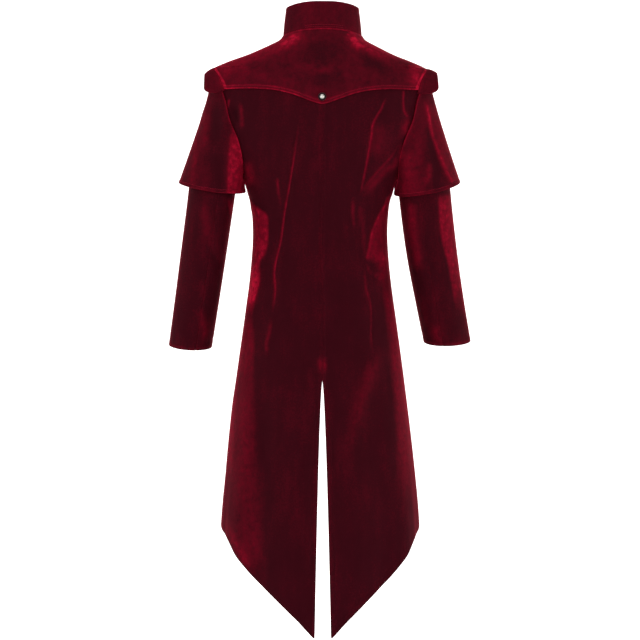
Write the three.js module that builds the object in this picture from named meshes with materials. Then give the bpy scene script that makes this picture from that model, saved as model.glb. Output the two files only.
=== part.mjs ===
// A velvet tailcoat as it hangs when worn, hollow, in millimetres with +Z up.
// The origin is the middle of the neck opening, level with its sides. The front faces -Y
// and the left side of the coat is on +X.

import * as THREE from 'three';

// Cloth, seams and layers
const seamGap = 0.3;
const clothWall = 1.6;
const collarWall = 3;
const wingWall = 3.6;
const layerGap = 0.9;

// Turns round the body run from the middle of the back, 0, to the middle of the front, 180 degrees
const sideSeamTurn = 96;
const shoulderTurn = 90;
const frontTurn = 180;

// Heights of the main levels
const shoulderPoint = -63;
const armholeFoot = -296;
const waist = -420;
const backNeck = 10;
const neckHalfWidth = 82;
const frontNeck = -70;
const frontYokeLevel = -130;
const frontFallReach = 0.7;

// Level sections of the body. The back and the front are measured from the line of the side seams.
// Round the armholes the half width is that of the full curve, of which the armhole cuts off the end.
const bodySections = [
  { height: -1260, halfWidth: 213, back: 140, front: 124 },
  { height: -1025, halfWidth: 206.5, back: 131, front: 118 },
  { height: -890, halfWidth: 196.5, back: 124, front: 112 },
  { height: -756, halfWidth: 181.7, back: 117, front: 106 },
  { height: -622, halfWidth: 163.5, back: 106, front: 101 },
  { height: -521, halfWidth: 150, back: 94, front: 97 },
  { height: -454, halfWidth: 142.7, back: 85, front: 93 },
  { height: -403, halfWidth: 140.3, back: 82, front: 91 },
  { height: -353, halfWidth: 143, back: 86, front: 97 },
  { height: -325, halfWidth: 151, back: 90, front: 101 },
  { height: -296, halfWidth: 161, back: 94, front: 105 },
  { height: -262, halfWidth: 178, back: 98, front: 109 },
  { height: -224, halfWidth: 199, back: 102, front: 111 },
  { height: -180, halfWidth: 226, back: 103, front: 108 },
  { height: -135, halfWidth: 233, back: 100, front: 99 },
  { height: -97, halfWidth: 234, back: 94, front: 86 },
  { height: -72, halfWidth: 229, back: 88, front: 76 },
  { height: -63, halfWidth: 221, back: 86, front: 73 },
  { height: -46, halfWidth: 184, back: 81, front: 66 },
  { height: -29.4, halfWidth: 143, back: 76.5, front: 59 },
  { height: -12.6, halfWidth: 103, back: 71, front: 52 },
  { height: -5, halfWidth: 89, back: 68, front: 49 },
  { height: 0, halfWidth: 82, back: 66, front: 47 },
  { height: 12, halfWidth: 66, back: 61, front: 43 },
];
const bodySquareness = 2.3;

// Soft flutes of the skirt: where each runs at the hem, how wide it is and how far it stands out there
const skirtFlutes = [
  { turn: 14, width: 8, reach: 3.5 },
  { turn: 34, width: 7, reach: -4 },
  { turn: 52, width: 8, reach: 5 },
  { turn: 74, width: 7, reach: -3 },
  { turn: 104, width: 8, reach: 4 },
];
const fluteTop = -560;
const fluteFoot = -1240;

// The hem, from the tail point round the side to the lap of the front
const hemLine = [
  { turn: 3.6, height: -1237 },
  { turn: 18, height: -1173 },
  { turn: 34, height: -1128 },
  { turn: 51, height: -1082 },
  { turn: 70, height: -1038 },
  { turn: 85, height: -1010 },
  { turn: 96, height: -985 },
  { turn: 110, height: -930 },
  { turn: 125, height: -848 },
  { turn: 140, height: -745 },
  { turn: 155, height: -630 },
  { turn: 168, height: -525 },
  { turn: 180, height: -455 },
];

// The vent opens from its top towards the tail points
const ventTop = -745;
const ventFoot = -1237;
const ventHalfGap = 17;
const ventSpread = 0.6;

// Armhole: how many degrees it is scooped into the back and the front
const backScoop = 39;
const frontScoop = 41;
const scoopRoundness = 0.7;
const armholeMiddle = -180;

// Front lap: how far each front runs past the middle, and where the upper one starts to rise
const upperLap = 16;
const lowerLap = 14;
const lapRiseStart = 42;
const lapRiseEnd = 20;
const lapRise = clothWall + 0.8;

// Collar
const collarHeights = [
  { turn: 0, height: 57 },
  { turn: 90, height: 60 },
  { turn: 140, height: 56 },
  { turn: 180, height: 50 },
];
const collarLean = 6;
const collarOut = 1.2;
const collarLift = 0.9;
const collarCorner = 22;
const collarGapTurn = 1.2;

// Yoke: its lower edge falls to a point at the middle
const yokeEdge = -115;
const yokePointDrop = 34;
const yokePointSpread = 47;
const yokePointPower = 1.4;
const yokeArmLevel = 2.9;
const yokeArmRows = 4;
const yokeTopLevel = 3.97;
const yokeArmTrim = 0.03;
const yokeShoulderTrim = 0.012;

// Sleeves: the middle line of each arm with the half width and half depth of the sleeve
const armLines = {
  left: [
    { height: -655, out: 272.5, back: -35, halfWidth: 45.5, halfDepth: 48 },
    { height: -550, out: 258, back: -13, halfWidth: 46.5, halfDepth: 50.5 },
    { height: -450, out: 243.8, back: 2, halfWidth: 47.5, halfDepth: 53 },
    { height: -345, out: 229, back: 4, halfWidth: 49, halfDepth: 55 },
    { height: -290, out: 223, back: 3, halfWidth: 50, halfDepth: 56 },
  ],
  right: [
    { height: -655, out: 270, back: -35, halfWidth: 47, halfDepth: 48 },
    { height: -550, out: 250.6, back: -13, halfWidth: 49, halfDepth: 51 },
    { height: -450, out: 232.6, back: 2, halfWidth: 51, halfDepth: 54 },
    { height: -345, out: 219, back: 4, halfWidth: 52, halfDepth: 56 },
    { height: -290, out: 214, back: 3, halfWidth: 52.5, halfDepth: 57 },
  ],
};
const cuffs = {
  left: { outerHeight: -643, innerHeight: -648, behind: 9 },
  right: { outerHeight: -634, innerHeight: -638, behind: 10 },
};
const sleeveHeadBelowHem = 4;
const sleeveStart = 0.9;
const sleeveFootStart = 8;
const sleeveRaise = clothWall + 0.15;
const upperSleeveFrom = -126;
const upperSleeveTo = 108;
const seamTurn = 0.17;
const steerTop = -0.24;
const steerFoot = 0.05;
const underArmSteer = 0.8;
const underArmPower = 4;

// Half sleeves: the outer and inner ends of each hem and how much lower the hem hangs behind
const halfSleeveHems = {
  left: { outerOut: 294.4, outerHeight: -304.5, innerOut: 156.5, innerHeight: -323, behind: 14 },
  right: { outerOut: 290.5, outerHeight: -301, innerOut: 155.5, innerHeight: -328, behind: 16 },
};
const halfSleeveDepthBehind = 69;
const halfSleeveDepthBefore = 78;
const halfSleeveRaise = sleeveRaise + clothWall + 0.5;
const halfSleeveFootStart = 6.3;
const halfSleeveFootDrop = 1;
const halfSleeveFlare = 0.2;
const halfSleeveSlope = 0.14;

// Shoulder wings
const wings = {
  left: { reach: 244, endTurn: 54 },
  right: { reach: 244, endTurn: 60 },
};
const wingAboveTop = 7;
const wingAboveEnds = 9;
const wingRiseTurn = 45;
const wingStart = 1;
const wingDroop = 0.42;
const wingEndRound = 14;
const wingLeast = 5;

// Stud and buttons
const studRadius = 8.5;
const studHeight = 5;
const studHeightOnYoke = -135;
const buttonHeights = [-100, -185, -270, -355, -440];

// Numbers of steps
const armholeTurns = [0, 9, 18, 36, 54, 72, 90, 108, 126, 144, 162, 171, 180];
const panelColumns = 10;
const skirtRows = 15;
const waistRows = 3;
const neckRows = 4;
const armSteps = 6;
const capSteps = 5;

const velvetRed = 0x5c0714;
const studMetal = 0x9a948c;

const sides = [
  { name: 'left', sign: 1 },
  { name: 'right', sign: -1 },
];

function radians(degrees) {
  return THREE.MathUtils.degToRad(degrees);
}

function degrees(angle) {
  return THREE.MathUtils.radToDeg(angle);
}

function mix(from, to, part) {
  return from + (to - from) * part;
}

function smooth(part) {
  const held = THREE.MathUtils.clamp(part, 0, 1);
  return held * held * (3 - 2 * held);
}

// Reads a column of a table whose rows rise in the key column, along a smooth curve through the rows
function readTable(table, key, at, column) {
  const last = table.length - 1;
  const held = THREE.MathUtils.clamp(at, table[0][key], table[last][key]);
  let row = 0;
  while (row < last - 1 && held > table[row + 1][key]) row += 1;
  const slope = (index) => {
    const before = Math.max(index - 1, 0);
    const after = Math.min(index + 1, last);
    return (table[after][column] - table[before][column]) / (table[after][key] - table[before][key]);
  };
  const span = table[row + 1][key] - table[row][key];
  const t = (held - table[row][key]) / span;
  const t2 = t * t;
  const t3 = t2 * t;
  return (2 * t3 - 3 * t2 + 1) * table[row][column] + (t3 - 2 * t2 + t) * span * slope(row)
    + (3 * t2 - 2 * t3) * table[row + 1][column] + (t3 - t2) * span * slope(row + 1);
}

function signedPower(value, power) {
  return Math.sign(value) * Math.abs(value) ** power;
}

// How far the flutes push the skirt outwards
function fluteReach(turn, height) {
  const fall = smooth((fluteTop - height) / (fluteTop - fluteFoot));
  let reach = 0;
  for (const flute of skirtFlutes) {
    const away = (Math.abs(turn) - flute.turn) / flute.width;
    reach += flute.reach * Math.exp(-away * away);
  }
  return reach * fall;
}

// A point of the coat's outer surface on the left side. Past 180 degrees it is on the right side.
function bodyPoint(turn, height) {
  const halfWidth = readTable(bodySections, 'height', height, 'halfWidth');
  const across = Math.sin(radians(turn));
  const along = Math.cos(radians(turn));
  const depth = readTable(bodySections, 'height', height, along >= 0 ? 'back' : 'front');
  const power = 2 / bodySquareness;
  const reach = fluteReach(turn, height);
  return new THREE.Vector3(
    (halfWidth + reach) * signedPower(across, power),
    (depth + reach) * signedPower(along, power),
    height,
  );
}

// The turn at which the coat's surface lies a given distance beside the middle
function turnAt(beside, height) {
  const halfWidth = readTable(bodySections, 'height', height, 'halfWidth');
  return degrees(Math.asin(Math.min(signedPower(beside / halfWidth, bodySquareness / 2), 1)));
}

// The neck seam by its turn as seen from above: its height and the turn of the body below it
function neckHeight(turn) {
  const along = Math.cos(radians(turn));
  return (along >= 0 ? backNeck : frontNeck) * along * along;
}

function neckBodyTurn(turn) {
  const beside = neckHalfWidth * signedPower(Math.sin(radians(turn)), 2 / bodySquareness);
  const onBody = turnAt(beside, neckHeight(turn));
  return Math.cos(radians(turn)) >= 0 ? onBody : frontTurn - onBody;
}

// Above the shoulder points the lines of a panel draw together towards the neck seam
function drawnTurn(turn, level) {
  return level <= 3 ? turn : mix(turn, neckBodyTurn(turn), level - 3);
}

function hemHeight(turn) {
  return readTable(hemLine, 'turn', turn, 'height');
}

// Armhole turn 0 is at the shoulder point, 180 at the foot, plus behind and minus before
function armholeHeight(armTurn) {
  return mix(shoulderPoint, armholeFoot, (1 - Math.cos(radians(armTurn))) / 2);
}

function armholeEdgeTurn(armTurn) {
  const fromTop = degrees(Math.acos(Math.cos(radians(armTurn))));
  const scoop = Math.abs(Math.sin(radians(armTurn))) ** scoopRoundness;
  const base = mix(shoulderTurn, sideSeamTurn, fromTop / 180);
  return Math.sin(radians(armTurn)) > 0 ? base - backScoop * scoop : base + frontScoop * scoop;
}

function armholePoint(armTurn) {
  return bodyPoint(armholeEdgeTurn(armTurn), armholeHeight(armTurn));
}

// The direction away from the armhole's middle in its own plane
function armholeOutwards(armTurn) {
  const edge = armholePoint(armTurn);
  return new THREE.Vector3(0, edge.y, edge.z - armholeMiddle).normalize();
}

// Levels 0 to 4 of a panel: hem, waist, armhole foot, shoulder point, neck
function levelArmTurn(level) {
  return 180 * (3 - level);
}

// Where the outer edge of a panel runs: the side seam, the armhole and the shoulder seam
function panelEdgeTurn(level, behind) {
  if (level <= 2) return sideSeamTurn;
  if (level >= 3) return shoulderTurn;
  return armholeEdgeTurn(behind ? levelArmTurn(level) : -levelArmTurn(level));
}

function panelHeight(turn, across, level, behind) {
  if (level < 1) return mix(hemHeight(turn), waist, level);
  if (level < 2) return mix(waist, armholeFoot, level - 1);
  const fall = behind ? 0 : (frontYokeLevel - shoulderPoint) * (1 - smooth(across / frontFallReach));
  if (level < 3) return armholeHeight(levelArmTurn(level)) + fall * smooth(level - 2);
  return mix(shoulderPoint + fall, neckHeight(turn), level - 3);
}

function ventEdge(height) {
  const open = Math.max((ventTop - height) / (ventTop - ventFoot), 0);
  return seamGap / 2 + ventHalfGap * open ** ventSpread;
}

// Keeps a panel's edge half a seam away from its neighbour, measured in degrees of turn
function seamTurnAt(height) {
  return degrees(seamGap / 2 / readTable(bodySections, 'height', height, 'halfWidth'));
}

function backPoint(across, level) {
  const edge = panelEdgeTurn(level, true);
  const nearHeight = panelHeight(edge * across, across, level, true);
  const inner = turnAt(ventEdge(nearHeight), nearHeight);
  const turn = mix(inner, edge - seamTurnAt(nearHeight), across);
  return bodyPoint(drawnTurn(turn, level), panelHeight(turn, across, level, true));
}

// A front counts across from the edge of its lap, -1, past the middle, 0, to the side seam, 1
function frontPoint(across, level, lap, rise) {
  const edge = panelEdgeTurn(level, false);
  const beside = Math.max(across, 0);
  const height = panelHeight(mix(frontTurn, edge, beside), beside, level, false);
  const past = Math.max(-across, 0) * turnAt(lap, height);
  const turn = drawnTurn(mix(frontTurn, edge + seamTurnAt(height), beside), level);
  const point = bodyPoint(turn + past, height);
  point.y -= rise * smooth((lapRiseStart - point.x) / (lapRiseStart - lapRiseEnd));
  return point;
}

function collarPoint(turn, rise) {
  const away = Math.abs(turn);
  const foot = bodyPoint(neckBodyTurn(away), neckHeight(away));
  const outwards = new THREE.Vector3(foot.x, foot.y, 0).normalize();
  const fromEnd = Math.min(foot.length() * radians(frontTurn - collarGapTurn - away), collarCorner);
  const corner = collarCorner - Math.sqrt(collarCorner ** 2 - (collarCorner - fromEnd) ** 2);
  const height = readTable(collarHeights, 'turn', away, 'height') - corner;
  foot.addScaledVector(outwards, collarOut - collarLean * rise * height / collarHeights[0].height);
  foot.z += collarLift + rise * height;
  foot.x *= Math.sign(turn) || 1;
  return foot;
}

function yokeLowest(beside) {
  return yokeEdge - yokePointDrop * Math.exp(-((beside / yokePointSpread) ** yokePointPower));
}

// The yoke's rows are its lower edge, two over the armholes, the shoulder points and those up to the neck
function yokeLevel(across, row) {
  const beside = Math.abs(across) * armholePoint(60).x;
  const part = (shoulderPoint - yokeLowest(beside)) / (shoulderPoint - armholeFoot);
  const lowest = 3 - degrees(Math.acos(1 - 2 * part)) / 180;
  if (row <= 2) return mix(lowest, yokeArmLevel, row / 2);
  if (row <= yokeArmRows) return mix(yokeArmLevel, 3, (row - 2) / (yokeArmRows - 2));
  return mix(3, yokeTopLevel, (row - yokeArmRows) / neckRows);
}

// The yoke counts across from the right armhole, -1, to the left one, 1
function yokePoint(across, row) {
  const level = yokeLevel(across, row);
  const trim = mix(yokeArmTrim, yokeShoulderTrim, smooth((level - yokeArmLevel) / (3 - yokeArmLevel)));
  const side = Math.min(Math.abs(across), 1 - trim);
  const edge = panelEdgeTurn(level, true);
  const point = bodyPoint(drawnTurn(edge * side, level), panelHeight(edge * side, side, level, true));
  point.x *= Math.sign(across);
  return point;
}

// A line of a sleeve leaves the armhole, steered outwards or inwards, and ends on a ring in its direction
function capPoint(start, end, endDirection, steer, part) {
  const reach = start.distanceTo(end);
  const startDirection = end.clone().sub(start).divideScalar(reach);
  startDirection.x += steer;
  startDirection.normalize();
  const t2 = part * part;
  const t3 = t2 * part;
  return new THREE.Vector3()
    .addScaledVector(start, 2 * t3 - 3 * t2 + 1)
    .addScaledVector(startDirection, (t3 - 2 * t2 + part) * reach)
    .addScaledVector(end, 3 * t2 - 2 * t3)
    .addScaledVector(endDirection, (t3 - t2) * reach);
}

// Where a sleeve leaves the armhole, some way beside it and some way out of it
function sleeveEdge(armTurn, beside, out) {
  const edge = armholePoint(armTurn);
  edge.addScaledVector(armholeOutwards(armTurn), out);
  edge.x += beside;
  return edge;
}

// How a sleeve line is steered sideways, from the shoulder, under 0, to the foot of the armhole, under 1
function sleeveSteer(under) {
  return mix(steerTop, steerFoot, under);
}

// A sleeve ring by its own heights: outside, inside and behind the arm
function ringHeight(ring, armTurn) {
  const middle = (ring.outerHeight + ring.innerHeight) / 2;
  const tilt = (ring.outerHeight - ring.innerHeight) / 2 * Math.cos(radians(armTurn));
  return middle + tilt - ring.behind * Math.sin(radians(armTurn));
}

function armPoint(side, armTurn, height) {
  const line = armLines[side.name];
  const across = (readTable(line, 'height', height, 'halfWidth') - sleeveRaise) * Math.cos(radians(armTurn));
  const deep = (readTable(line, 'height', height, 'halfDepth') - sleeveRaise) * Math.sin(radians(armTurn));
  return new THREE.Vector3(
    readTable(line, 'height', height, 'out') + across,
    readTable(line, 'height', height, 'back') + deep,
    height,
  );
}

// Part 0 to 1 is the sleeve head, from the armhole to a ring just below the half sleeve's hem,
// and 1 to 2 the lower sleeve down to the cuff
function sleevePoint(side, armTurn, part) {
  const top = ringHeight(halfSleeveHems[side.name], armTurn) - sleeveHeadBelowHem;
  const foot = ringHeight(cuffs[side.name], armTurn);
  if (part >= 1) return armPoint(side, armTurn, mix(top, foot, part - 1));
  const end = armPoint(side, armTurn, top);
  const direction = armPoint(side, armTurn, top - 5).sub(end).normalize();
  const under = (1 - Math.cos(radians(armTurn))) / 2;
  const steer = mix(sleeveSteer(under), underArmSteer, under ** underArmPower);
  const start = sleeveEdge(armTurn, mix(sleeveStart, sleeveFootStart, under ** underArmPower), 0);
  return capPoint(start, end, direction, steer, part);
}

function halfSleeveHemPoint(side, armTurn) {
  const hem = halfSleeveHems[side.name];
  const outwards = Math.cos(radians(armTurn));
  const backwards = Math.sin(radians(armTurn));
  return new THREE.Vector3(
    mix(hem.innerOut + halfSleeveRaise, hem.outerOut - halfSleeveRaise, (1 + outwards) / 2),
    ((backwards > 0 ? halfSleeveDepthBehind : halfSleeveDepthBefore) - halfSleeveRaise) * backwards,
    ringHeight(hem, armTurn),
  );
}

function halfSleevePoint(side, armTurn, part) {
  const angle = radians(armTurn);
  const flare = new THREE.Vector3(Math.cos(angle), Math.sin(angle), 0).multiplyScalar(halfSleeveFlare);
  const direction = new THREE.Vector3(halfSleeveSlope, 0, -1).add(flare).normalize();
  const under = (1 - Math.cos(angle)) / 2;
  const beside = mix(sleeveStart, halfSleeveFootStart, under ** underArmPower);
  const start = sleeveEdge(armTurn, beside, halfSleeveFootDrop * under);
  return capPoint(start, halfSleeveHemPoint(side, armTurn), direction, sleeveSteer(under), part);
}

function wingPoint(side, armTurn, part) {
  const wing = wings[side.name];
  const above = mix(wingAboveTop, wingAboveEnds, smooth(Math.abs(armTurn) / wingRiseTurn));
  const edge = armholePoint(armTurn).addScaledVector(armholeOutwards(armTurn), above);
  const fromEnd = (wing.endTurn - Math.abs(armTurn)) / wingEndRound;
  const round = Math.sqrt(1 - (1 - THREE.MathUtils.clamp(fromEnd, 0, 1)) ** 2);
  const width = mix(wingLeast, wing.reach - edge.x, round);
  edge.x += wingStart + (width - wingStart) * part;
  edge.z -= wingDroop * Math.cos(radians(armTurn)) * width * part * (0.6 + 0.4 * part);
  return edge;
}

// Even steps from one value to another
function steps(from, to, count) {
  return Array.from({ length: count + 1 }, (_, index) => mix(from, to, index / count));
}

// The surface's direction outwards. Facing is 1 or -1 and picks the side.
function outwardsAt(pointAt, u, v, us, vs, facing, ring) {
  const small = 1e-3;
  const uSmall = small * (us[us.length - 1] - us[0]);
  const vSmall = small * (vs[vs.length - 1] - vs[0]);
  const held = (value, list) => THREE.MathUtils.clamp(value, list[0], list[list.length - 1]);
  const uBefore = ring ? u - uSmall : held(u - uSmall, us);
  const uAfter = ring ? u + uSmall : held(u + uSmall, us);
  const acrossWay = pointAt(uAfter, v).sub(pointAt(uBefore, v));
  const alongWay = pointAt(u, held(v + vSmall, vs)).sub(pointAt(u, held(v - vSmall, vs)));
  return acrossWay.cross(alongWay).normalize().multiplyScalar(facing);
}

// A wall of cloth over a grid of two parameters. Its outer face is the surface, raised, and its inner
// face lies one wall deeper. A ring is joined along its first and last columns.
function clothWallOver(pointAt, us, vs, options) {
  const { wall = clothWall, raised = 0, facing = 1, ring = false, sign = 1 } = options;
  const columns = ring ? us.length - 1 : us.length;
  const rows = vs.length;
  const positions = [];
  for (const depth of [raised, raised - wall]) {
    for (let row = 0; row < rows; row += 1) {
      for (let column = 0; column < columns; column += 1) {
        const point = pointAt(us[column], vs[row]);
        point.addScaledVector(outwardsAt(pointAt, us[column], vs[row], us, vs, facing, ring), depth);
        positions.push(point.x * sign, point.y, point.z);
      }
    }
  }
  const layer = columns * rows;
  const at = (column, row, inner) => inner * layer + row * columns + (column % columns);
  const indices = [];
  const turned = facing * sign < 0;
  const quad = (a, b, c, d) => (turned ? indices.push(a, c, b, a, d, c) : indices.push(a, b, c, a, c, d));
  const cells = us.length - 1;
  for (let row = 0; row < rows - 1; row += 1) {
    for (let column = 0; column < cells; column += 1) {
      const next = column + 1;
      quad(at(column, row, 0), at(next, row, 0), at(next, row + 1, 0), at(column, row + 1, 0));
      quad(at(column, row, 1), at(column, row + 1, 1), at(next, row + 1, 1), at(next, row, 1));
    }
  }
  for (let column = 0; column < cells; column += 1) {
    const next = column + 1;
    quad(at(column, 0, 1), at(next, 0, 1), at(next, 0, 0), at(column, 0, 0));
    quad(at(column, rows - 1, 0), at(next, rows - 1, 0), at(next, rows - 1, 1), at(column, rows - 1, 1));
  }
  if (!ring) {
    for (let row = 0; row < rows - 1; row += 1) {
      quad(at(0, row, 1), at(0, row, 0), at(0, row + 1, 0), at(0, row + 1, 1));
      quad(at(cells, row, 0), at(cells, row, 1), at(cells, row + 1, 1), at(cells, row + 1, 0));
    }
  }
  const geometry = new THREE.BufferGeometry();
  geometry.setAttribute('position', new THREE.Float32BufferAttribute(positions, 3));
  geometry.setIndex(indices);
  geometry.computeVertexNormals();
  return geometry;
}

function velvetMaterial() {
  return new THREE.MeshStandardMaterial({ color: velvetRed, roughness: 0.8, metalness: 0 });
}

function studMaterial() {
  return new THREE.MeshStandardMaterial({ color: studMetal, roughness: 0.35, metalness: 0.9 });
}

function piece(name, geometry, material) {
  const mesh = new THREE.Mesh(geometry, material);
  mesh.name = name;
  return mesh;
}

function armTurnLevel(armTurn) {
  return 3 - armTurn / 180;
}

function panelLevels() {
  return [
    ...steps(0, 1, skirtRows),
    ...steps(1, 2, waistRows).slice(1),
    ...armholeTurns.map(armTurnLevel).reverse().slice(1),
    ...steps(3, 4, neckRows).slice(1),
  ];
}

function backPanel({ name, sign }) {
  const columns = [0, 0.5 / panelColumns, ...steps(0, 1, panelColumns).slice(1)];
  const geometry = clothWallOver(backPoint, columns, panelLevels(), { facing: -1, sign });
  return piece(`back_${name}`, geometry, velvetMaterial());
}

function frontPanel({ name, sign }) {
  const lap = name === 'left' ? upperLap : lowerLap;
  const rise = name === 'left' ? lapRise : 0;
  const pointAt = (across, level) => frontPoint(across, level, lap, rise);
  const columns = [-1, 0, 0.5 / panelColumns, ...steps(0, 1, panelColumns).slice(1)];
  return piece(`front_${name}`, clothWallOver(pointAt, columns, panelLevels(), { sign }), velvetMaterial());
}

function collar() {
  const end = frontTurn - collarGapTurn;
  const firstColumn = frontTurn - shoulderTurn / panelColumns;
  const nearEnd = (firstColumn + frontTurn) / 2;
  const between = steps(-firstColumn, firstColumn, 4 * panelColumns - 2);
  const turns = [-end, -nearEnd, ...between, nearEnd, end];
  const geometry = clothWallOver(collarPoint, turns, steps(0, 1, 4), { wall: collarWall, facing: -1 });
  return piece('collar', geometry, velvetMaterial());
}

function yoke() {
  const rows = steps(0, yokeArmRows + neckRows, yokeArmRows + neckRows);
  const raised = layerGap + clothWall;
  const geometry = clothWallOver(yokePoint, steps(-1, 1, 2 * panelColumns), rows, { raised, facing: -1 });
  return piece('yoke', geometry, velvetMaterial());
}

function wing(side) {
  const pointAt = (armTurn, part) => wingPoint(side, armTurn, part);
  const end = wings[side.name].endTurn;
  const options = { wall: wingWall, facing: -1, sign: side.sign };
  const geometry = clothWallOver(pointAt, steps(-end, end, 14), steps(0, 1, 4), options);
  return piece(`wing_${side.name}`, geometry, velvetMaterial());
}

// The armhole's own turns, before and behind and once more round, between two of them
function sleeveTurns(from, to) {
  const behind = armholeTurns.slice(0, -1);
  const before = armholeTurns.slice(1).map((turn) => -turn).reverse();
  const round = [...before, ...behind];
  return [...round, ...round.map((turn) => turn + 360)].filter((turn) => turn >= from && turn <= to);
}

function halfSleeve(side) {
  const pointAt = (armTurn, part) => halfSleevePoint(side, armTurn, part);
  const turns = sleeveTurns(-180, 180);
  const options = { facing: -1, ring: true, sign: side.sign, raised: halfSleeveRaise };
  const geometry = clothWallOver(pointAt, turns, steps(0, 1, 7), options);
  return piece(`half_sleeve_${side.name}`, geometry, velvetMaterial());
}

// The upper and the under sleeve meet at a seam behind and one inside the arm
function sleevePieces(side) {
  const pointAt = (armTurn, part) => sleevePoint(side, armTurn, part);
  const levels = [...steps(0, 1, capSteps), ...steps(1, 2, armSteps).slice(1)];
  const options = { facing: -1, sign: side.sign, raised: sleeveRaise };
  const upper = sleeveTurns(upperSleeveFrom, upperSleeveTo);
  const under = sleeveTurns(upperSleeveTo, upperSleeveFrom + 360);
  return [['upper_sleeve', upper], ['under_sleeve', under]].map(([name, turns]) => {
    const seamed = [...turns];
    seamed[0] += seamTurn;
    seamed[seamed.length - 1] -= seamTurn;
    return piece(`${name}_${side.name}`, clothWallOver(pointAt, seamed, levels, options), velvetMaterial());
  });
}

function studProfile() {
  const rim = studRadius;
  return [
    [0, 0], [rim - 0.8, 0], [rim, 0.8], [rim, 1.6], [rim - 1.4, 2.2],
    [rim * 0.6, studHeight - 1], [rim * 0.3, studHeight - 0.2], [0, studHeight],
  ].map(([radius, height]) => new THREE.Vector2(radius, height));
}

// A domed stud that stands on a surface, along the surface's outward direction
function stud(name, foot, outwards) {
  const mesh = piece(name, new THREE.LatheGeometry(studProfile(), 14), studMaterial());
  mesh.position.copy(foot);
  mesh.quaternion.setFromUnitVectors(new THREE.Vector3(0, 1, 0), outwards);
  return mesh;
}

function backStud() {
  const outwards = new THREE.Vector3(0, 1, 0.13).normalize();
  const foot = bodyPoint(0, studHeightOnYoke);
  foot.addScaledVector(outwards, layerGap + clothWall + seamGap);
  return stud('back_stud', foot, outwards);
}

function frontButton(height, index) {
  const rise = bodyPoint(frontTurn, height + 10).y - bodyPoint(frontTurn, height - 10).y;
  const outwards = new THREE.Vector3(0, -20, rise).normalize();
  const foot = bodyPoint(frontTurn, height);
  foot.addScaledVector(outwards, lapRise + seamGap + 0.3);
  return stud(`front_button_${index + 1}`, foot, outwards);
}

const tailcoat = new THREE.Group();
tailcoat.add(collar(), yoke());
for (const side of sides) {
  tailcoat.add(backPanel(side), frontPanel(side), wing(side), halfSleeve(side), ...sleevePieces(side));
}
tailcoat.add(backStud(), ...buttonHeights.map(frontButton));

export default tailcoat;
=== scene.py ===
import math

import bpy
import numpy as np
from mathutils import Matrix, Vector


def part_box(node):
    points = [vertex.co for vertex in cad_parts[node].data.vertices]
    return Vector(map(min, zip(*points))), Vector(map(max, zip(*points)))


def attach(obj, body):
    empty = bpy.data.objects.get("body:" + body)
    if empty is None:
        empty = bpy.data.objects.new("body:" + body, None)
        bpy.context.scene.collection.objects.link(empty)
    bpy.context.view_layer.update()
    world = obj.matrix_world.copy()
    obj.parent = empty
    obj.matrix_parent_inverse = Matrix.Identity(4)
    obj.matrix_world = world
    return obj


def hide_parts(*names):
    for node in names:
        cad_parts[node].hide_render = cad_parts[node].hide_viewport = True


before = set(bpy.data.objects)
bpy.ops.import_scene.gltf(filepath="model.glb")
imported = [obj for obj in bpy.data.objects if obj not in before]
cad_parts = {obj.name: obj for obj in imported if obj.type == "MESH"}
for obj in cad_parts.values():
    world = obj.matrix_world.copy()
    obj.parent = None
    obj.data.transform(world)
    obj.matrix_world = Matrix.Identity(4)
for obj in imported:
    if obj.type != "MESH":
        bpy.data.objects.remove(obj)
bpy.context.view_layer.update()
print("frame loaded:", len(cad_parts), "nodes")

# Shapes are worked out in millimetres, in the coat's own frame: +Z up, the front towards -Y, the left side
# on +X. Turns round the body run from the middle of the back, 0, to the middle of the front, 180 degrees.
metres = 0.001

body = {
    "cloth": 1.6,
    "seamGap": 0.3,
    "squareness": 2.3,
    "sideSeamTurn": 96,
    "shoulderTurn": 90,
    "shoulderPoint": -71,
    "armholeFoot": -296,
    "armholeMiddle": -180,
    "waist": -420,
    "backNeck": 10,
    "frontNeck": -70,
    "neckHalfWidth": 82,
    "frontYokeLevel": -130,
    "frontFallTurn": 44,
    "backScoop": 39,
    "frontScoop": 41,
    "scoopRoundness": 0.7,
    # height, half width, depth behind, depth before
    "sections": np.array([
        (-1260, 214, 140, 124), (-1025, 208.5, 131, 118), (-890, 196.5, 124, 112), (-756, 181.7, 117, 106),
        (-622, 163.5, 106, 101), (-521, 150, 94, 97), (-454, 143.4, 85, 93), (-403, 141.5, 82, 91),
        (-353, 145, 86, 97), (-325, 152.5, 90, 101), (-296, 161, 94, 105), (-262, 178, 98, 109),
        (-224, 199, 102, 111), (-180, 226, 103, 108), (-138, 233, 100, 99), (-103, 234, 94, 86),
        (-80, 229, 88, 76), (-71, 221, 86, 73), (-52.5, 184, 81, 66), (-35, 143, 76.5, 59),
        (-16, 103, 71, 52), (-8, 89, 68, 49), (0, 82, 66, 47), (12, 66, 61, 43),
    ]),
    # turn, height
    "hem": np.array([
        (3.6, -1237), (11.5, -1201), (23, -1162), (37.5, -1122), (50.5, -1083), (66, -1047), (85, -1024),
        (96, -1011), (110, -944), (125, -853), (140, -745), (155, -630), (168, -525), (180, -455),
    ]),
    # turn, width, reach at the hem
    "flutes": ((14, 8, 3.5), (34, 7, -4), (52, 8, 5), (74, 7, -3), (104, 8, 4)),
    "fluteTop": -560,
    "fluteFoot": -1240,
    "ventTop": -714,
    "ventFoot": -1237,
    "ventHalfGap": 17,
    "ventSpread": 0.6,
    "neckLean": 5,
    "neckLeanFoot": -75,
}


def mix(start, end, part):  # start plus a part of the way to end
    return start + (end - start) * part


def smooth(part):  # 3 p squared less 2 p cubed, held between 0 and 1
    held = np.clip(part, 0, 1)
    return held * held * (3 - 2 * held)


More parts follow.
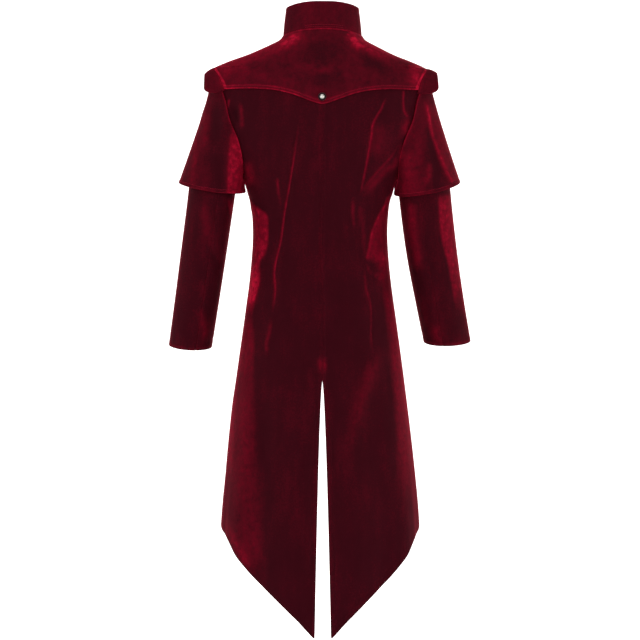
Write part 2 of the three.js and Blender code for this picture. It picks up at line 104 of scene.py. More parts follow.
def bell(away, width):  # e to the minus square of the distance in widths
    return np.exp(-((away / width) ** 2))


def signedPower(value, power):  # the value's size to the power, with its sign
    return np.sign(value) * np.abs(value) ** power


def unit(vectors):  # each vector over its own length
    return vectors / np.maximum(np.linalg.norm(vectors, axis=-1, keepdims=True), 1e-9)


def vector(x, y, z):  # three coordinates, each a number or an array, as one array of points
    return np.stack(np.broadcast_arrays(x, y, z), -1).astype(float)


# The cubic from start to end that has the given slopes there
def cubic(start, startSlope, end, endSlope, t):
    leaving = (2 * t**3 - 3 * t**2 + 1) * start + (t**3 - 2 * t**2 + t) * startSlope
    return leaving + (3 * t**2 - 2 * t**3) * end + (t**3 - t**2) * endSlope


# A smooth curve through a table's rows: a cubic between each two, with each row's slope from its neighbours
def readTable(table, at, column):
    key, value = table[:, 0], table[:, column]
    before = np.maximum(np.arange(len(key)) - 1, 0)
    after = np.minimum(np.arange(len(key)) + 1, len(key) - 1)
    slope = (value[after] - value[before]) / (key[after] - key[before])
    held = np.clip(at, key[0], key[-1])
    row = np.clip(np.searchsorted(key, held, side="left") - 1, 0, len(key) - 2)
    span = key[row + 1] - key[row]
    t = (held - key[row]) / span
    return cubic(value[row], span * slope[row], value[row + 1], span * slope[row + 1], t)


# How far the flutes push the skirt out: a sum of bells round the body that grows from the flutes' top down
def fluteReach(turn, height):
    fall = smooth((body["fluteTop"] - height) / (body["fluteTop"] - body["fluteFoot"]))
    reach = 0
    for place, width, out in body["flutes"]:
        reach = reach + out * bell(np.abs(turn) - place, width)
    return reach * fall


# The body's outer surface: level sections are superellipses, with their own depths behind and before
def bodyPoint(turn, height):
    across, along = np.sin(np.radians(turn)), np.cos(np.radians(turn))
    halfWidth, behind, before = (readTable(body["sections"], height, column) for column in (1, 2, 3))
    power = 2 / body["squareness"]
    reach = fluteReach(turn, height)
    depth = np.where(along >= 0, behind, before)
    beside = (halfWidth + reach) * signedPower(across, power)
    return vector(beside, (depth + reach) * signedPower(along, power), height)


# The turn at which the surface lies so far beside the middle: the superellipse solved for its angle
def turnAt(beside, height):
    part = np.abs(beside) / readTable(body["sections"], height, 1)
    return np.degrees(np.arcsin(np.clip(part, 0, 1) ** (body["squareness"] / 2)))


# The neck seam falls or rises from its sides to its middles with the square of the cosine
def neckHeight(turn):
    along = np.cos(np.radians(turn))
    return np.where(along >= 0, body["backNeck"], body["frontNeck"]) * along**2


# The turn on the body that lies under a turn of the neck seam, a superellipse of the neck's own width
def neckBodyTurn(turn):
    beside = body["neckHalfWidth"] * signedPower(np.sin(np.radians(turn)), 2 / body["squareness"])
    onBody = turnAt(beside, neckHeight(turn))
    return np.where(np.cos(np.radians(turn)) >= 0, onBody, 180 - onBody)


# Above the shoulder points, level 3, the lines of a panel draw together towards the neck seam, level 4
def drawnTurn(turn, level):
    return np.where(level <= 3, turn, mix(turn, neckBodyTurn(turn), level - 3))


def hemHeight(turn):  # the hem's smooth curve
    return readTable(body["hem"], turn, 1)


# Armhole turn 0 is at the shoulder point, 180 at the foot, plus behind and minus before
def armholeHeight(armTurn):
    return mix(body["shoulderPoint"], body["armholeFoot"], (1 - np.cos(np.radians(armTurn))) / 2)


# The body turn of the armhole's edge: the shoulder's to the side seam's, scooped in by a power of the sine
def armholeEdgeTurn(armTurn):
    sine = np.sin(np.radians(armTurn))
    fromTop = np.degrees(np.arccos(np.clip(np.cos(np.radians(armTurn)), -1, 1)))
    base = mix(body["shoulderTurn"], body["sideSeamTurn"], fromTop / 180)
    scoop = np.abs(sine) ** body["scoopRoundness"]
    return np.where(sine > 0, base - body["backScoop"] * scoop, base + body["frontScoop"] * scoop)


def armholePoint(armTurn):  # the edge on the body
    return bodyPoint(armholeEdgeTurn(armTurn), armholeHeight(armTurn))


def armholeOutwards(armTurn):  # away from the armhole's middle, seen from the side
    edge = armholePoint(armTurn)
    return unit(vector(0, edge[..., 1], edge[..., 2] - body["armholeMiddle"]))


# Levels 0 to 4 of a panel: hem, waist, armhole foot, shoulder point, neck
def panelEdgeTurn(level, behind):
    armTurn = 180 * (3 - np.clip(level, 2, 3)) * (1 if behind else -1)
    onArmhole = armholeEdgeTurn(armTurn)
    return np.select([level <= 2, level >= 3], [body["sideSeamTurn"], body["shoulderTurn"]], onArmhole)


# A level's height is a mix of the lines that bound it. Before, the rows fall with a smooth share of the turn
# towards the middle, down to the front's own yoke level.
def panelHeight(turn, level, behind):
    fall = 0
    if not behind:
        reach = smooth((180 - turn) / body["frontFallTurn"])
        fall = (body["frontYokeLevel"] - body["shoulderPoint"]) * (1 - reach)
    skirt = mix(hemHeight(turn), body["waist"], level)
    middle = mix(body["waist"], body["armholeFoot"], level - 1)
    arm = armholeHeight(180 * (3 - level)) + fall * smooth(level - 2)
    neck = mix(body["shoulderPoint"] + fall, neckHeight(turn), level - 3)
    return np.select([level < 1, level < 2, level < 3], [skirt, middle, arm], neck)


def seamTurnAt(height):  # half a seam's gap as a turn of the body
    return np.degrees(body["seamGap"] / 2 / readTable(body["sections"], height, 1))


# The slopes of a grid of points along its columns and its rows
def gridSlopes(points, ring):
    if not ring:
        return np.gradient(points, axis=1), np.gradient(points, axis=0)
    padded = np.concatenate([points[:, -1:], points, points[:, :1]], 1)
    return np.gradient(padded, axis=1)[:, 1:-1], np.gradient(points, axis=0)


def gridNormals(points, facing, ring):  # the cross product of the two slopes, on the side asked for
    acrossWay, alongWay = gridSlopes(points, ring)
    return unit(np.cross(acrossWay, alongWay)) * facing


# The middle surface of a wall of cloth, whose outer face is the shape, raised
def middleSurface(pointAt, us, vs, raised=0, wall=body["cloth"], facing=-1, ring=False):
    u, v = np.meshgrid(us, vs)
    points = pointAt(u, v)
    return points + gridNormals(points, facing, ring) * (raised - wall / 2)


# A smooth path through a few given points, as many evenly counted points
def smoothPath(points, count=48):
    table = np.column_stack([np.arange(len(points)), np.array(points, float)])
    at = np.linspace(0, len(points) - 1, count + 1)
    return np.column_stack([readTable(table, at, column) for column in range(1, table.shape[1])])


# Lift and painted light of folds along paths on one face of the coat, each a list of (x, z) that runs
# downwards. Across a path the lift is a bell, the step is a bell's slope that is high on the +X side, and the
# painted light is a bell of
# its own: a painted highlight on a ridge, painted shade in a trough where it is below zero. The shade paints
# a sheen highlight over all the cloth on one side of the path, where the cloth turns aside, and fades with
# distance.
plainFold = {
    "width": 6, "lift": 0, "step": 0, "napAndPaintedLight": 0, "paintedLightWidth": 4, "fadeIn": 0.3, "fadeOut": 0.3,
    "shade": 0, "toward": 1, "edge": 5, "reach": 50,
}


def foldField(points, folds, weight=1.0):
    shape = points.shape[:-1]
    flat = points[..., [0, 2]].reshape(-1, 2)
    lift, napAndPaintedLight = np.zeros(len(flat)), np.zeros(len(flat))
    for given in folds:
        fold = {**plainFold, **given}
        path = smoothPath(fold["path"])
        margin = 3 * max(fold["width"], fold["paintedLightWidth"], fold["reach"] if fold["shade"] else 0)
        near = np.all((flat > path.min(0) - margin) & (flat < path.max(0) + margin), axis=1)
        if not near.any():
            continue
        begin, along = path[:-1], path[1:] - path[:-1]
        away = flat[near][:, None, :] - begin[None]
        t = np.clip((away * along).sum(2) / (along**2).sum(1), 0, 1)
        distance = np.linalg.norm(away - t[..., None] * along, axis=2)
        nearest = distance.argmin(1)
        pick = np.arange(len(nearest))
        turned = along[nearest, 0] * away[pick, nearest, 1] - along[nearest, 1] * away[pick, nearest, 0]
        signed = np.sign(turned) * distance[pick, nearest]
        part = (nearest + t[pick, nearest]) / len(begin)
        fade = smooth(part / fold["fadeIn"]) * smooth((1 - part) / fold["fadeOut"])
        rise = fold["lift"] + fold["step"] * signed / fold["width"]
        lift[near] += fade * rise * bell(signed, fold["width"])
        napAndPaintedLight[near] += fade * fold["napAndPaintedLight"] * bell(signed, fold["paintedLightWidth"])
        if fold["shade"]:
            beyond = signed * fold["toward"]
            paintedLight = smooth(beyond / fold["edge"] + 0.5) * bell(np.maximum(beyond, 0), fold["reach"])
            napAndPaintedLight[near] += fade * fold["shade"] * paintedLight
    return lift.reshape(shape) * weight, napAndPaintedLight.reshape(shape) * weight


# Slow waves that no pressed cloth is free of: the product of two sines of place, and a third sine at a slant
wave = {"depthShare": 0.4, "wide": 31, "tall": 83, "slantWide": 17, "slantTall": 61, "mainShare": 0.7}


def softWaves(points, height, seed):
    x, z = points[..., 0] + wave["depthShare"] * points[..., 1], points[..., 2]
    main = np.sin(x / wave["wide"] + seed) * np.sin(z / wave["tall"] + 2 * seed)
    slant = np.sin(x / wave["slantWide"] + z / wave["slantTall"] + 3 * seed)
    return height * mix(slant, main, wave["mainShare"])


# The faces between neighbouring rows and columns of a grid of vertex numbers, closed round for a ring
def gridQuads(index, ring):
    wrapped = np.concatenate([index, index[:, :1]], 1) if ring else index
    corners = [wrapped[:-1, :-1], wrapped[:-1, 1:], wrapped[1:, 1:], wrapped[1:, :-1]]
    return np.stack(corners, -1).reshape(-1, 4)


# A closed sheet of cloth round its middle surface: an outer and an inner face, one wall apart, and a rim
# whose section is half a circle. The nap and painted light are kept as an attribute for the velvet; the rim
# gets a painted highlight of its own and the inner face none.
def makeSheet(name, points, wall, napAndPaintedLight, material, facing=-1, ring=False, rimPaintedLight=0.3, rimSteps=4):
    count = points.shape[0] * points.shape[1]
    acrossWay, alongWay = gridSlopes(points, ring)
    normal = unit(np.cross(acrossWay, alongWay)) * facing
    half = wall / 2
    index = np.arange(count).reshape(points.shape[:2])
    quads = gridQuads(index, ring)
    away = np.zeros_like(points)
    away[0] -= unit(alongWay[0])
    away[-1] += unit(alongWay[-1])
    if ring:
        edges = [index[0], index[-1][::-1]]
    else:
        away[:, 0] -= unit(acrossWay[:, 0])
        away[:, -1] += unit(acrossWay[:, -1])
        edges = [np.concatenate([index[0, :-1], index[:-1, -1], index[-1, :0:-1], index[:0:-1, 0]])]
    flatPoints, flatNormal, flatAway = points.reshape(-1, 3), normal.reshape(-1, 3), away.reshape(-1, 3)
    vertices = [flatPoints + flatNormal * half, flatPoints - flatNormal * half]
    faces = [quads, quads[:, ::-1] + count]
    napAndPaintedLightParts = [napAndPaintedLight.ravel(), np.zeros(count)]
    used = 2 * count
    for edge in edges:
        out = flatAway[edge] - (flatAway[edge] * flatNormal[edge]).sum(1, keepdims=True) * flatNormal[edge]
        out = unit(out)
        levels = [edge]
        for step in range(1, rimSteps):
            angle = math.pi * step / rimSteps
            turned = flatNormal[edge] * math.cos(angle) + out * math.sin(angle)
            vertices.append(flatPoints[edge] + turned * half)
            napAndPaintedLightParts.append(np.full(len(edge), rimPaintedLight))
            levels.append(np.arange(len(edge)) + used)
            used += len(edge)
        levels.append(edge + count)
        for upper, lower in zip(levels[:-1], levels[1:]):
            faces.append(np.stack([upper, lower, np.roll(lower, -1), np.roll(upper, -1)], -1))
    allFaces = np.concatenate(faces)
    if facing < 0:
        allFaces = allFaces[:, ::-1]
    return makeMesh(name, np.concatenate(vertices), allFaces.tolist(), material, np.concatenate(napAndPaintedLightParts))


# A smooth mesh object of one material, with its nap and painted light as an attribute where it has one
def makeMesh(name, vertices, faces, material, napAndPaintedLight=None):
    mesh = bpy.data.meshes.new(name)
    mesh.from_pydata(placed(vertices).tolist(), [], faces)
    if napAndPaintedLight is not None:
        layer = mesh.attributes.new("napAndPaintedLight", "FLOAT", "POINT")
        layer.data.foreach_set("value", np.asarray(napAndPaintedLight, dtype=np.float32))
    mesh.polygons.foreach_set("use_smooth", np.ones(len(mesh.polygons), dtype=bool))
    mesh.materials.append(material)
    mesh.update()
    piece = bpy.data.objects.new(name, mesh)
    bpy.context.collection.objects.link(piece)
    return piece


def mirrored(points, sign):  # x times the side's sign
    return points * np.array([sign, 1, 1])


# The neck leans a few millimetres to the right: points above the shoulders are moved over, then put in metres
def placed(points):
    points = np.array(points, float)
    span = -body["neckLeanFoot"]
    points[:, 0] -= body["neckLean"] * smooth((points[:, 2] - body["neckLeanFoot"]) / span)
    return points * metres


def finishPiece(piece, slot, *nodes):  # body, slot and the nodes that the piece stands for; the slot is not used
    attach(piece, "root")
    if nodes:
        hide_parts(*nodes)


def newMaterial(name):  # with its nodes, its links and its main shader
    material = bpy.data.materials.new(name)
    material.use_nodes = True
    nodes, links = material.node_tree.nodes, material.node_tree.links
    return material, nodes, links, nodes["Principled BSDF"]


# A noise over the given coordinates
def noiseOver(nodes, links, place, scale, detail, roughness=0.5):
    noise = nodes.new("ShaderNodeTexNoise")
    noise.inputs["Scale"].default_value = scale
    noise.inputs["Detail"].default_value = detail
    noise.inputs["Roughness"].default_value = roughness
    links.new(place, noise.inputs["Vector"])
    return noise.outputs["Fac"]


# A value carried straight from one range to another
def mapRange(nodes, links, value, given, wanted):
    node = nodes.new("ShaderNodeMapRange")
    for key, limit in zip(("From Min", "From Max", "To Min", "To Max"), (*given, *wanted)):
        node.inputs[key].default_value = limit
    links.new(value, node.inputs["Value"])
    return node.outputs["Result"]


# Two colours by a value, the lower one a share of the given colour
def shadedColour(nodes, links, value, colour, share):
    ramp = nodes.new("ShaderNodeValToRGB")
    ramp.color_ramp.elements[0].color = (*[part * share for part in colour], 1)
    ramp.color_ramp.elements[1].color = (*colour, 1)
    links.new(value, ramp.inputs["Fac"])
    return ramp.outputs["Color"]


# Velvet: its own very dark red, lighter where the attribute of nap and painted light paints sheen, darker
# where it paints shade in creases, and a crimson sheen from the shader. That attribute times a crush noise,
# plus three centred noises, is the place on a ramp of four reds.
def velvetMaterial(name, look):
    material, nodes, links, shader = newMaterial(name)
    place = nodes.new("ShaderNodeTexCoord").outputs["Object"]
    paintedLight = nodes.new("ShaderNodeAttribute")
    paintedLight.attribute_name = "napAndPaintedLight"
    stretched = nodes.new("ShaderNodeMapping")
    stretched.inputs["Scale"].default_value = (1, 1, look["streakStretch"])
    links.new(place, stretched.inputs["Vector"])
    crush = noiseOver(nodes, links, place, look["crushScale"], 6, look["crushRoughness"])
    broken = mapRange(nodes, links, crush, look["crushFrom"], look["crushTo"])
    total = nodes.new("ShaderNodeMath")
    total.operation = "MULTIPLY"
    links.new(paintedLight.outputs["Fac"], total.inputs[0])
    links.new(broken, total.inputs[1])
    for source, amount in (
        (noiseOver(nodes, links, place, look["cloudScale"], 4), look["cloudAmount"]),
        (noiseOver(nodes, links, stretched.outputs["Vector"], look["streakScale"], 3), look["streakAmount"]),
        (noiseOver(nodes, links, place, look["speckScale"], 5), look["speckAmount"]),
    ):
        centred = nodes.new("ShaderNodeMath")
        centred.operation = "MULTIPLY_ADD"
        centred.inputs[1].default_value = amount
        centred.inputs[2].default_value = -amount / 2
        links.new(source, centred.inputs[0])
        added = nodes.new("ShaderNodeMath")
        added.operation = "ADD"
        links.new(centred.outputs[0], added.inputs[0])
        links.new(total.outputs[0], added.inputs[1])
        total = added
    ramp = nodes.new("ShaderNodeValToRGB")
    elements = ramp.color_ramp.elements
    elements[0].color = (*look["deep"], 1)
    elements[1].color = (*look["bright"], 1)
    for at, colour in ((look["facingAt"], look["facing"]), (look["paintedLightAt"], look["paintedLight"])):
        elements.new(at).color = (*colour, 1)
    links.new(mapRange(nodes, links, total.outputs[0], look["paintedLightRange"], (0, 1)), ramp.inputs["Fac"])
    links.new(ramp.outputs["Color"], shader.inputs["Base Color"])
    bump = nodes.new("ShaderNodeBump")
    bump.inputs["Strength"].default_value = look["pileStrength"]
    bump.inputs["Distance"].default_value = look["pileDepth"]
    links.new(noiseOver(nodes, links, place, look["pileScale"], 3), bump.inputs["Height"])
    links.new(bump.outputs["Normal"], shader.inputs["Normal"])
    shader.inputs["Roughness"].default_value = look["roughness"]
    shader.inputs["Specular IOR Level"].default_value = look["specular"]
    shader.inputs["Sheen Weight"].default_value = look["sheen"]
    shader.inputs["Sheen Roughness"].default_value = look["sheenRoughness"]
    shader.inputs["Sheen Tint"].default_value = (*look["sheenTint"], 1)
    return material


velvetLook = {
    # deep is painted shade in creases, facing is the cloth's own red, and the two lighter reds are painted
    # sheen
    "deep": (0.008, 0.0004, 0.0012),
    "facing": (0.018, 0.0007, 0.0023),
    "paintedLight": (0.085, 0.0008, 0.0055),
    "bright": (0.260, 0.0030, 0.0160),
    "facingAt": 0.29,
    "paintedLightAt": 0.6,
    "paintedLightRange": (-0.4, 1),
    "cloudScale": 9,
    "cloudAmount": 0.24,
    "streakScale": 60,
    "streakStretch": 0.16,
    "streakAmount": 0.18,
    "speckScale": 300,
    "speckAmount": 0.26,
    "crushScale": 95,
    "crushRoughness": 0.62,
    "crushFrom": (0.35, 0.65),
    "crushTo": (0.6, 1.4),
    "pileScale": 1500,
    "pileStrength": 0.3,
    "pileDepth": 0.0004,
    "roughness": 0.85,
    "specular": 0.02,
    "sheen": 0.55,
    "sheenRoughness": 0.28,
    "sheenTint": (0.62, 0.008, 0.045),
}
threadLook = {
    "colour": (0.17, 0.003, 0.013),
    "darker": 0.6,
    "twistScale": 700,
    "roughness": 0.8,
    "specular": 0.05,
}
metalLook = {
    "dome": (0.44, 0.42, 0.39),
    # the rim is dark metal, darkened further to paint the shade round the stud
    "rim": (0.018, 0.010, 0.011),
    "roughness": 0.3,
    "rimRoughness": 0.5,
    "tarnishScale": 260,
    "darker": 0.75,
    "wear": (0.7, 1.4),
}


def threadMaterial(look):  # a thread's twist as a fine noise between two reds
    material, nodes, links, shader = newMaterial("sewing_thread")
    place = nodes.new("ShaderNodeTexCoord").outputs["Object"]
    twist = noiseOver(nodes, links, place, look["twistScale"], 2)
    colour = shadedColour(nodes, links, twist, look["colour"], look["darker"])
    links.new(colour, shader.inputs["Base Color"])
    shader.inputs["Roughness"].default_value = look["roughness"]
    shader.inputs["Specular IOR Level"].default_value = look["specular"]
    return material


def metalMaterial(name, colour, roughness):  # tarnish darkens the metal and makes its gloss uneven
    material, nodes, links, shader = newMaterial(name)
    place = nodes.new("ShaderNodeTexCoord").outputs["Object"]
    tarnish = noiseOver(nodes, links, place, metalLook["tarnishScale"], 4)
    wear = mapRange(nodes, links, tarnish, (0, 1), [roughness * share for share in metalLook["wear"]])
    tinted = shadedColour(nodes, links, tarnish, colour, metalLook["darker"])
    links.new(tinted, shader.inputs["Base Color"])
    links.new(wear, shader.inputs["Roughness"])
    shader.inputs["Metallic"].default_value = 1
    return material


velvet = velvetMaterial("red_velvet", velvetLook)
thread = threadMaterial(threadLook)
domeMetal = metalMaterial("stud_dome_metal", metalLook["dome"], metalLook["roughness"])
rimMetalAndShade = metalMaterial("stud_rim_metal_and_painted_shade", metalLook["rim"], metalLook["rimRoughness"])
print("materials made")

# Small stitches along a path: each is a short rounded thread, five-sided, that lies half in the cloth. Its
# rings lie at shares of its length, each with a share of its radius.
stitch = {
    "pitch": 3.4,
    "length": 2.5,
    "radius": 0.38,
    "sides": 5,
    "proud": 0.12,
    "ringPlaces": (-0.5, -0.36, 0.36, 0.5),
    "ringRadii": (0.35, 1, 1, 0.35),
}


def readAlong(at, travelled, values):  # straight lines between a path's points, by the way travelled
    return np.column_stack([np.interp(at, travelled, values[:, axis]) for axis in range(3)])


def makeStitches(name, runs):
    sides, rings = stitch["sides"], len(stitch["ringPlaces"])
    angle = np.arange(sides) * 2 * math.pi / sides
    corner = np.arange(sides)
    following = (corner + 1) % sides
    vertices, faces, used = [], [], 0
    for path, normal in runs:
        step = np.linalg.norm(np.diff(path, axis=0), axis=1)
        travelled = np.concatenate([[0], np.cumsum(step)])
        at = np.arange(stitch["pitch"] / 2, travelled[-1], stitch["pitch"])
        up = unit(readAlong(at, travelled, normal))
        along = unit(readAlong(at + 0.5, travelled, path) - readAlong(at - 0.5, travelled, path))
        side = unit(np.cross(along, up))
        centre = readAlong(at, travelled, path) + up * stitch["proud"]
        ring = np.cos(angle)[:, None, None] * side + np.sin(angle)[:, None, None] * up
        block = np.stack([
            centre + along * (place * stitch["length"]) + ring * (radius * stitch["radius"])
            for place, radius in zip(stitch["ringPlaces"], stitch["ringRadii"])
        ]).transpose(2, 0, 1, 3)  # stitch, ring, side, coordinate
        vertices.append(block.reshape(-1, 3))
        starts = used + np.arange(len(at))[:, None] * sides * rings
        for level in range(rings - 1):
            low, high = level * sides, (level + 1) * sides
            walls = np.column_stack([low + corner, low + following, high + following, high + corner])
            faces.extend((starts[..., None] + walls[None]).reshape(-1, 4).tolist())
        for cap in (corner[::-1], corner + sides * (rings - 1)):
            faces.extend((starts + cap[None]).tolist())
        used += len(at) * sides * rings
    finishPiece(makeMesh(name, np.concatenate(vertices), faces, thread), "velvet")


# A line over a surface, at given columns and rows of its two parameters, with the way outwards along it
def lineOver(pointAt, us, vs, raised, small=1e-3):
    acrossWay = pointAt(us + small, vs) - pointAt(us - small, vs)
    alongWay = pointAt(us, vs + small) - pointAt(us, vs - small)
    normal = -unit(np.cross(acrossWay, alongWay))
    return pointAt(us, vs) + normal * raised, normal


# The shoulder's end is fuller, level with the wing: a smooth rise outwards and upwards
shoulderPad = {"rise": 3.2, "start": 150, "span": 65, "foot": -100, "fade": 30}


def padLift(points):
    outwards = smooth((np.abs(points[..., 0]) - shoulderPad["start"]) / shoulderPad["span"])
    upwards = smooth((points[..., 2] - shoulderPad["foot"]) / shoulderPad["fade"])
    return shoulderPad["rise"] * outwards * upwards


back = {
    "columns": 118,
    "skirtRows": 84,
    "waistRows": 44,
    "armRows": 80,
    "neckRows": 8,
    "flat": (0.31, 1.27),
    "area": 0.262,
    "waves": 0.7,
    "yokeFoot": -118,
    "yokeFade": 14,
    "sideFade": -25,
    "sideFadeSpan": 50,
    "seamBand": 6.5,
    "seamDip": 1.1,
    "seamPaintedLight": 0.03,
    "seamPaintedLightFoot": -720,
    "seamFade": 30,
    "ventBand": 8,
    "ventPaintedLight": 0.05,
    "ventPaintedLightInner": 0.35,
    "ventPaintedLightFade": 3,
    "ventLift": 0.5,
    "ventHemTop": -690,
    "ventHemFade": 20,
    # the folds paint highlights on their ridges, shade in their troughs, and a sheen over the sides that turn
    # away
    "folds": {
        "left": [
            {"path": [(43, -150), (55, -242), (66, -312), (76, -369), (84, -428), (97, -486), (96, -531),
             (101, -582)], "width": 4, "lift": -1.7, "step": 1.0, "napAndPaintedLight": 0.46, "paintedLightWidth": 1.8,
             "fadeIn": 0.3, "fadeOut": 0.15},
            {"path": [(101, -582), (107, -613), (113, -644), (111, -672)], "width": 6, "lift": 0.9,
             "napAndPaintedLight": 0.2},
            {"path": [(92, -298), (89, -326), (84, -362)], "width": 5, "lift": -1.4, "napAndPaintedLight": 0.4,
             "paintedLightWidth": 2.6, "fadeIn": 0.12, "fadeOut": 0.7},
            {"path": [(156, -313), (143, -346), (123, -365), (111, -379), (110, -428), (115, -453),
             (127, -473), (127, -512), (137, -551), (143, -590)], "width": 9, "step": 2.6, "shade": 0.48,
             "edge": 5, "reach": 60, "fadeIn": 0.1, "fadeOut": 0.1},
            {"path": [(143, -570), (141, -613), (139, -644), (141, -685), (139, -756)], "shade": 0.24,
             "edge": 12, "reach": 60, "fadeIn": 0.2},
            {"path": [(137, -478), (140, -520), (146, -568)], "napAndPaintedLight": 0.4, "paintedLightWidth": 8},
            {"path": [(168, -138), (164, -172), (164, -206)], "width": 7, "lift": 1.2, "napAndPaintedLight": 0.22,
             "paintedLightWidth": 5},
            {"path": [(178, -150), (177, -190)], "width": 8, "lift": -3, "napAndPaintedLight": -0.2, "paintedLightWidth": 6},
            {"path": [(156, -258), (148, -289), (145, -318)], "width": 10, "lift": 1.2, "napAndPaintedLight": 0.26,
             "paintedLightWidth": 9},
            {"path": [(189, -134), (193, -157)], "napAndPaintedLight": 0.3, "paintedLightWidth": 2.5},
            {"path": [(148, -690), (144, -760), (134, -880), (128, -1000), (122, -1110)], "shade": 0.17,
             "edge": 34, "reach": 80, "fadeOut": 0.1},
            {"path": [(196, -1000), (182, -1040), (160, -1080), (132, -1120)], "napAndPaintedLight": 0.2, "paintedLightWidth": 8},
            {"path": [(178, -720), (184, -820), (188, -930)], "napAndPaintedLight": 0.16, "paintedLightWidth": 7, "width": 12,
             "lift": 1},
            {"path": [(148, -694), (150, -756), (156, -817), (162, -899), (172, -1001)], "width": 22,
             "lift": 3, "napAndPaintedLight": 0.08, "paintedLightWidth": 12},
            {"path": [(123, -735), (123, -837), (131, -919)], "width": 18, "lift": -2.4, "napAndPaintedLight": -0.06,
             "paintedLightWidth": 10},
            {"path": [(4, -670), (4, -704)], "napAndPaintedLight": 0.18, "paintedLightWidth": 6, "fadeIn": 0.1, "fadeOut": 0.4},
        ],
        "right": [
            {"path": [(-133, -130), (-123, -156), (-105, -189), (-102, -213), (-96, -248), (-90, -283),
             (-82, -320), (-76, -348)], "width": 5, "lift": -1.8, "step": -1.0, "napAndPaintedLight": 0.4,
             "paintedLightWidth": 2.2, "fadeIn": 0.15, "fadeOut": 0.3},
            {"path": [(-118, -180), (-117, -215), (-112, -260)], "width": 16, "lift": 1.4, "napAndPaintedLight": 0.13,
             "paintedLightWidth": 15},
            {"path": [(-76, -340), (-82, -375), (-88, -428), (-90, -473)], "width": 4, "lift": -0.7,
             "napAndPaintedLight": 0.1},
            {"path": [(-90, -468), (-90, -521), (-101, -564), (-101, -627), (-105, -668)], "width": 3.5,
             "lift": -0.9, "napAndPaintedLight": 0.22, "paintedLightWidth": 2},
            {"path": [(-166, -238), (-152, -265), (-131, -283), (-111, -306), (-94, -322), (-74, -348)],
             "width": 10, "lift": 3.2, "napAndPaintedLight": 0.16, "paintedLightWidth": 7, "fadeIn": 0.2, "fadeOut": 0.25},
            {"path": [(-160, -226), (-145, -252), (-118, -282), (-96, -308), (-78, -334)], "napAndPaintedLight": 0.18,
             "paintedLightWidth": 2.2, "fadeIn": 0.3, "fadeOut": 0.3},
            {"path": [(-164, -220), (-166, -265), (-160, -298)], "width": 7, "lift": 1.4, "napAndPaintedLight": 0.34,
             "paintedLightWidth": 5},
            {"path": [(-66, -336), (-64, -369), (-68, -404)], "width": 5, "lift": -1.2, "napAndPaintedLight": 0.2,
             "paintedLightWidth": 3.5},
            {"path": [(-169, -118), (-170, -158), (-182, -176)], "width": 4, "lift": -1.1, "napAndPaintedLight": 0.36,
             "paintedLightWidth": 2.4, "fadeIn": 0.05},
            {"path": [(-182, -172), (-172, -195), (-176, -214)], "width": 8, "lift": 1.2, "napAndPaintedLight": 0.22,
             "paintedLightWidth": 6},
            {"path": [(-146, -326), (-133, -354), (-119, -379), (-105, -412), (-99, -445), (-91, -470)],
             "width": 6, "lift": -2.2, "napAndPaintedLight": 0.28, "paintedLightWidth": 3, "shade": 0.26, "toward": -1,
             "reach": 60, "fadeIn": 0.1, "fadeOut": 0.1},
            {"path": [(-130, -440), (-128, -480), (-130, -530)], "napAndPaintedLight": 0.24, "paintedLightWidth": 13},
            {"path": [(-91, -470), (-99, -490), (-115, -502), (-134, -513)], "width": 3.5, "lift": -0.9,
             "napAndPaintedLight": 0.16, "paintedLightWidth": 2},
            {"path": [(-125, -505), (-132, -551), (-138, -592), (-144, -654), (-148, -736), (-154, -830),
             (-162, -940), (-170, -1050)], "shade": 0.26, "toward": -1, "edge": 20, "reach": 60,
             "fadeIn": 0.15},
            {"path": [(-126, -625), (-112, -668), (-97, -705), (-83, -746), (-71, -780), (-59, -829),
             (-46, -870), (-30, -920)], "width": 16, "lift": 3.6, "napAndPaintedLight": 0.13, "paintedLightWidth": 14,
             "fadeOut": 0.5},
            {"path": [(-126, -760), (-134, -860), (-142, -980)], "width": 20, "lift": 2.4},
            {"path": [(-4, -670), (-4, -704)], "napAndPaintedLight": 0.18, "paintedLightWidth": 6, "fadeIn": 0.1, "fadeOut": 0.4},
        ],
    },
}


# The vent opens from the seam's gap with a power of the way down it
def ventEdge(height):
    down = np.maximum((body["ventTop"] - height) / (body["ventTop"] - body["ventFoot"]), 0)
    return body["seamGap"] / 2 + body["ventHalfGap"] * down ** body["ventSpread"]


# A back panel by how far across it lies, 0 at the middle seam and 1 at the side, and its level
def backPoint(across, level):
    edge = panelEdgeTurn(level, True)
    nearHeight = panelHeight(edge * across, level, True)
    inner = turnAt(ventEdge(nearHeight), nearHeight)
    turn = mix(inner, edge - seamTurnAt(nearHeight), across)
    return bodyPoint(drawnTurn(turn, level), panelHeight(turn, level, True))


def panelLevels(settings):  # evenly spread rows between each two of the levels 0 to 4
    return np.concatenate([
        np.linspace(0, 1, settings["skirtRows"] + 1),
        np.linspace(1, 2, settings["waistRows"] + 1)[1:],
        np.linspace(2, 3, settings["armRows"] + 1)[1:],
        np.linspace(3, 4, settings["neckRows"] + 1)[1:],
    ])


# Columns closer together next to a panel's two edges, where its seams and hems are
def edgedColumns(count, closeness=0.55):
    even = np.linspace(0, 1, count + 1)
    return mix(even, (1 - np.cos(math.pi * even)) / 2, closeness)


# Places a panel's columns: below the armhole they're evenly spread, and beside it most of them keep to the
# part inside the armhole, so that they don't shift where its curve turns in
core = {"share": 0.84, "turn": 50, "start": 1.25, "span": 0.75, "top": 3, "topSpan": 0.6}


def coreAcross(across, level, wholeTurn):
    inside = smooth((level - core["start"]) / core["span"])
    inside = inside * (1 - smooth((level - core["top"]) / core["topSpan"]))
    held = mix(core["share"], core["turn"] / wholeTurn, inside)
    inner = held * across / core["share"]
    outer = mix(held, 1, (across - core["share"]) / (1 - core["share"]))
    return np.where(across < core["share"], inner, outer)


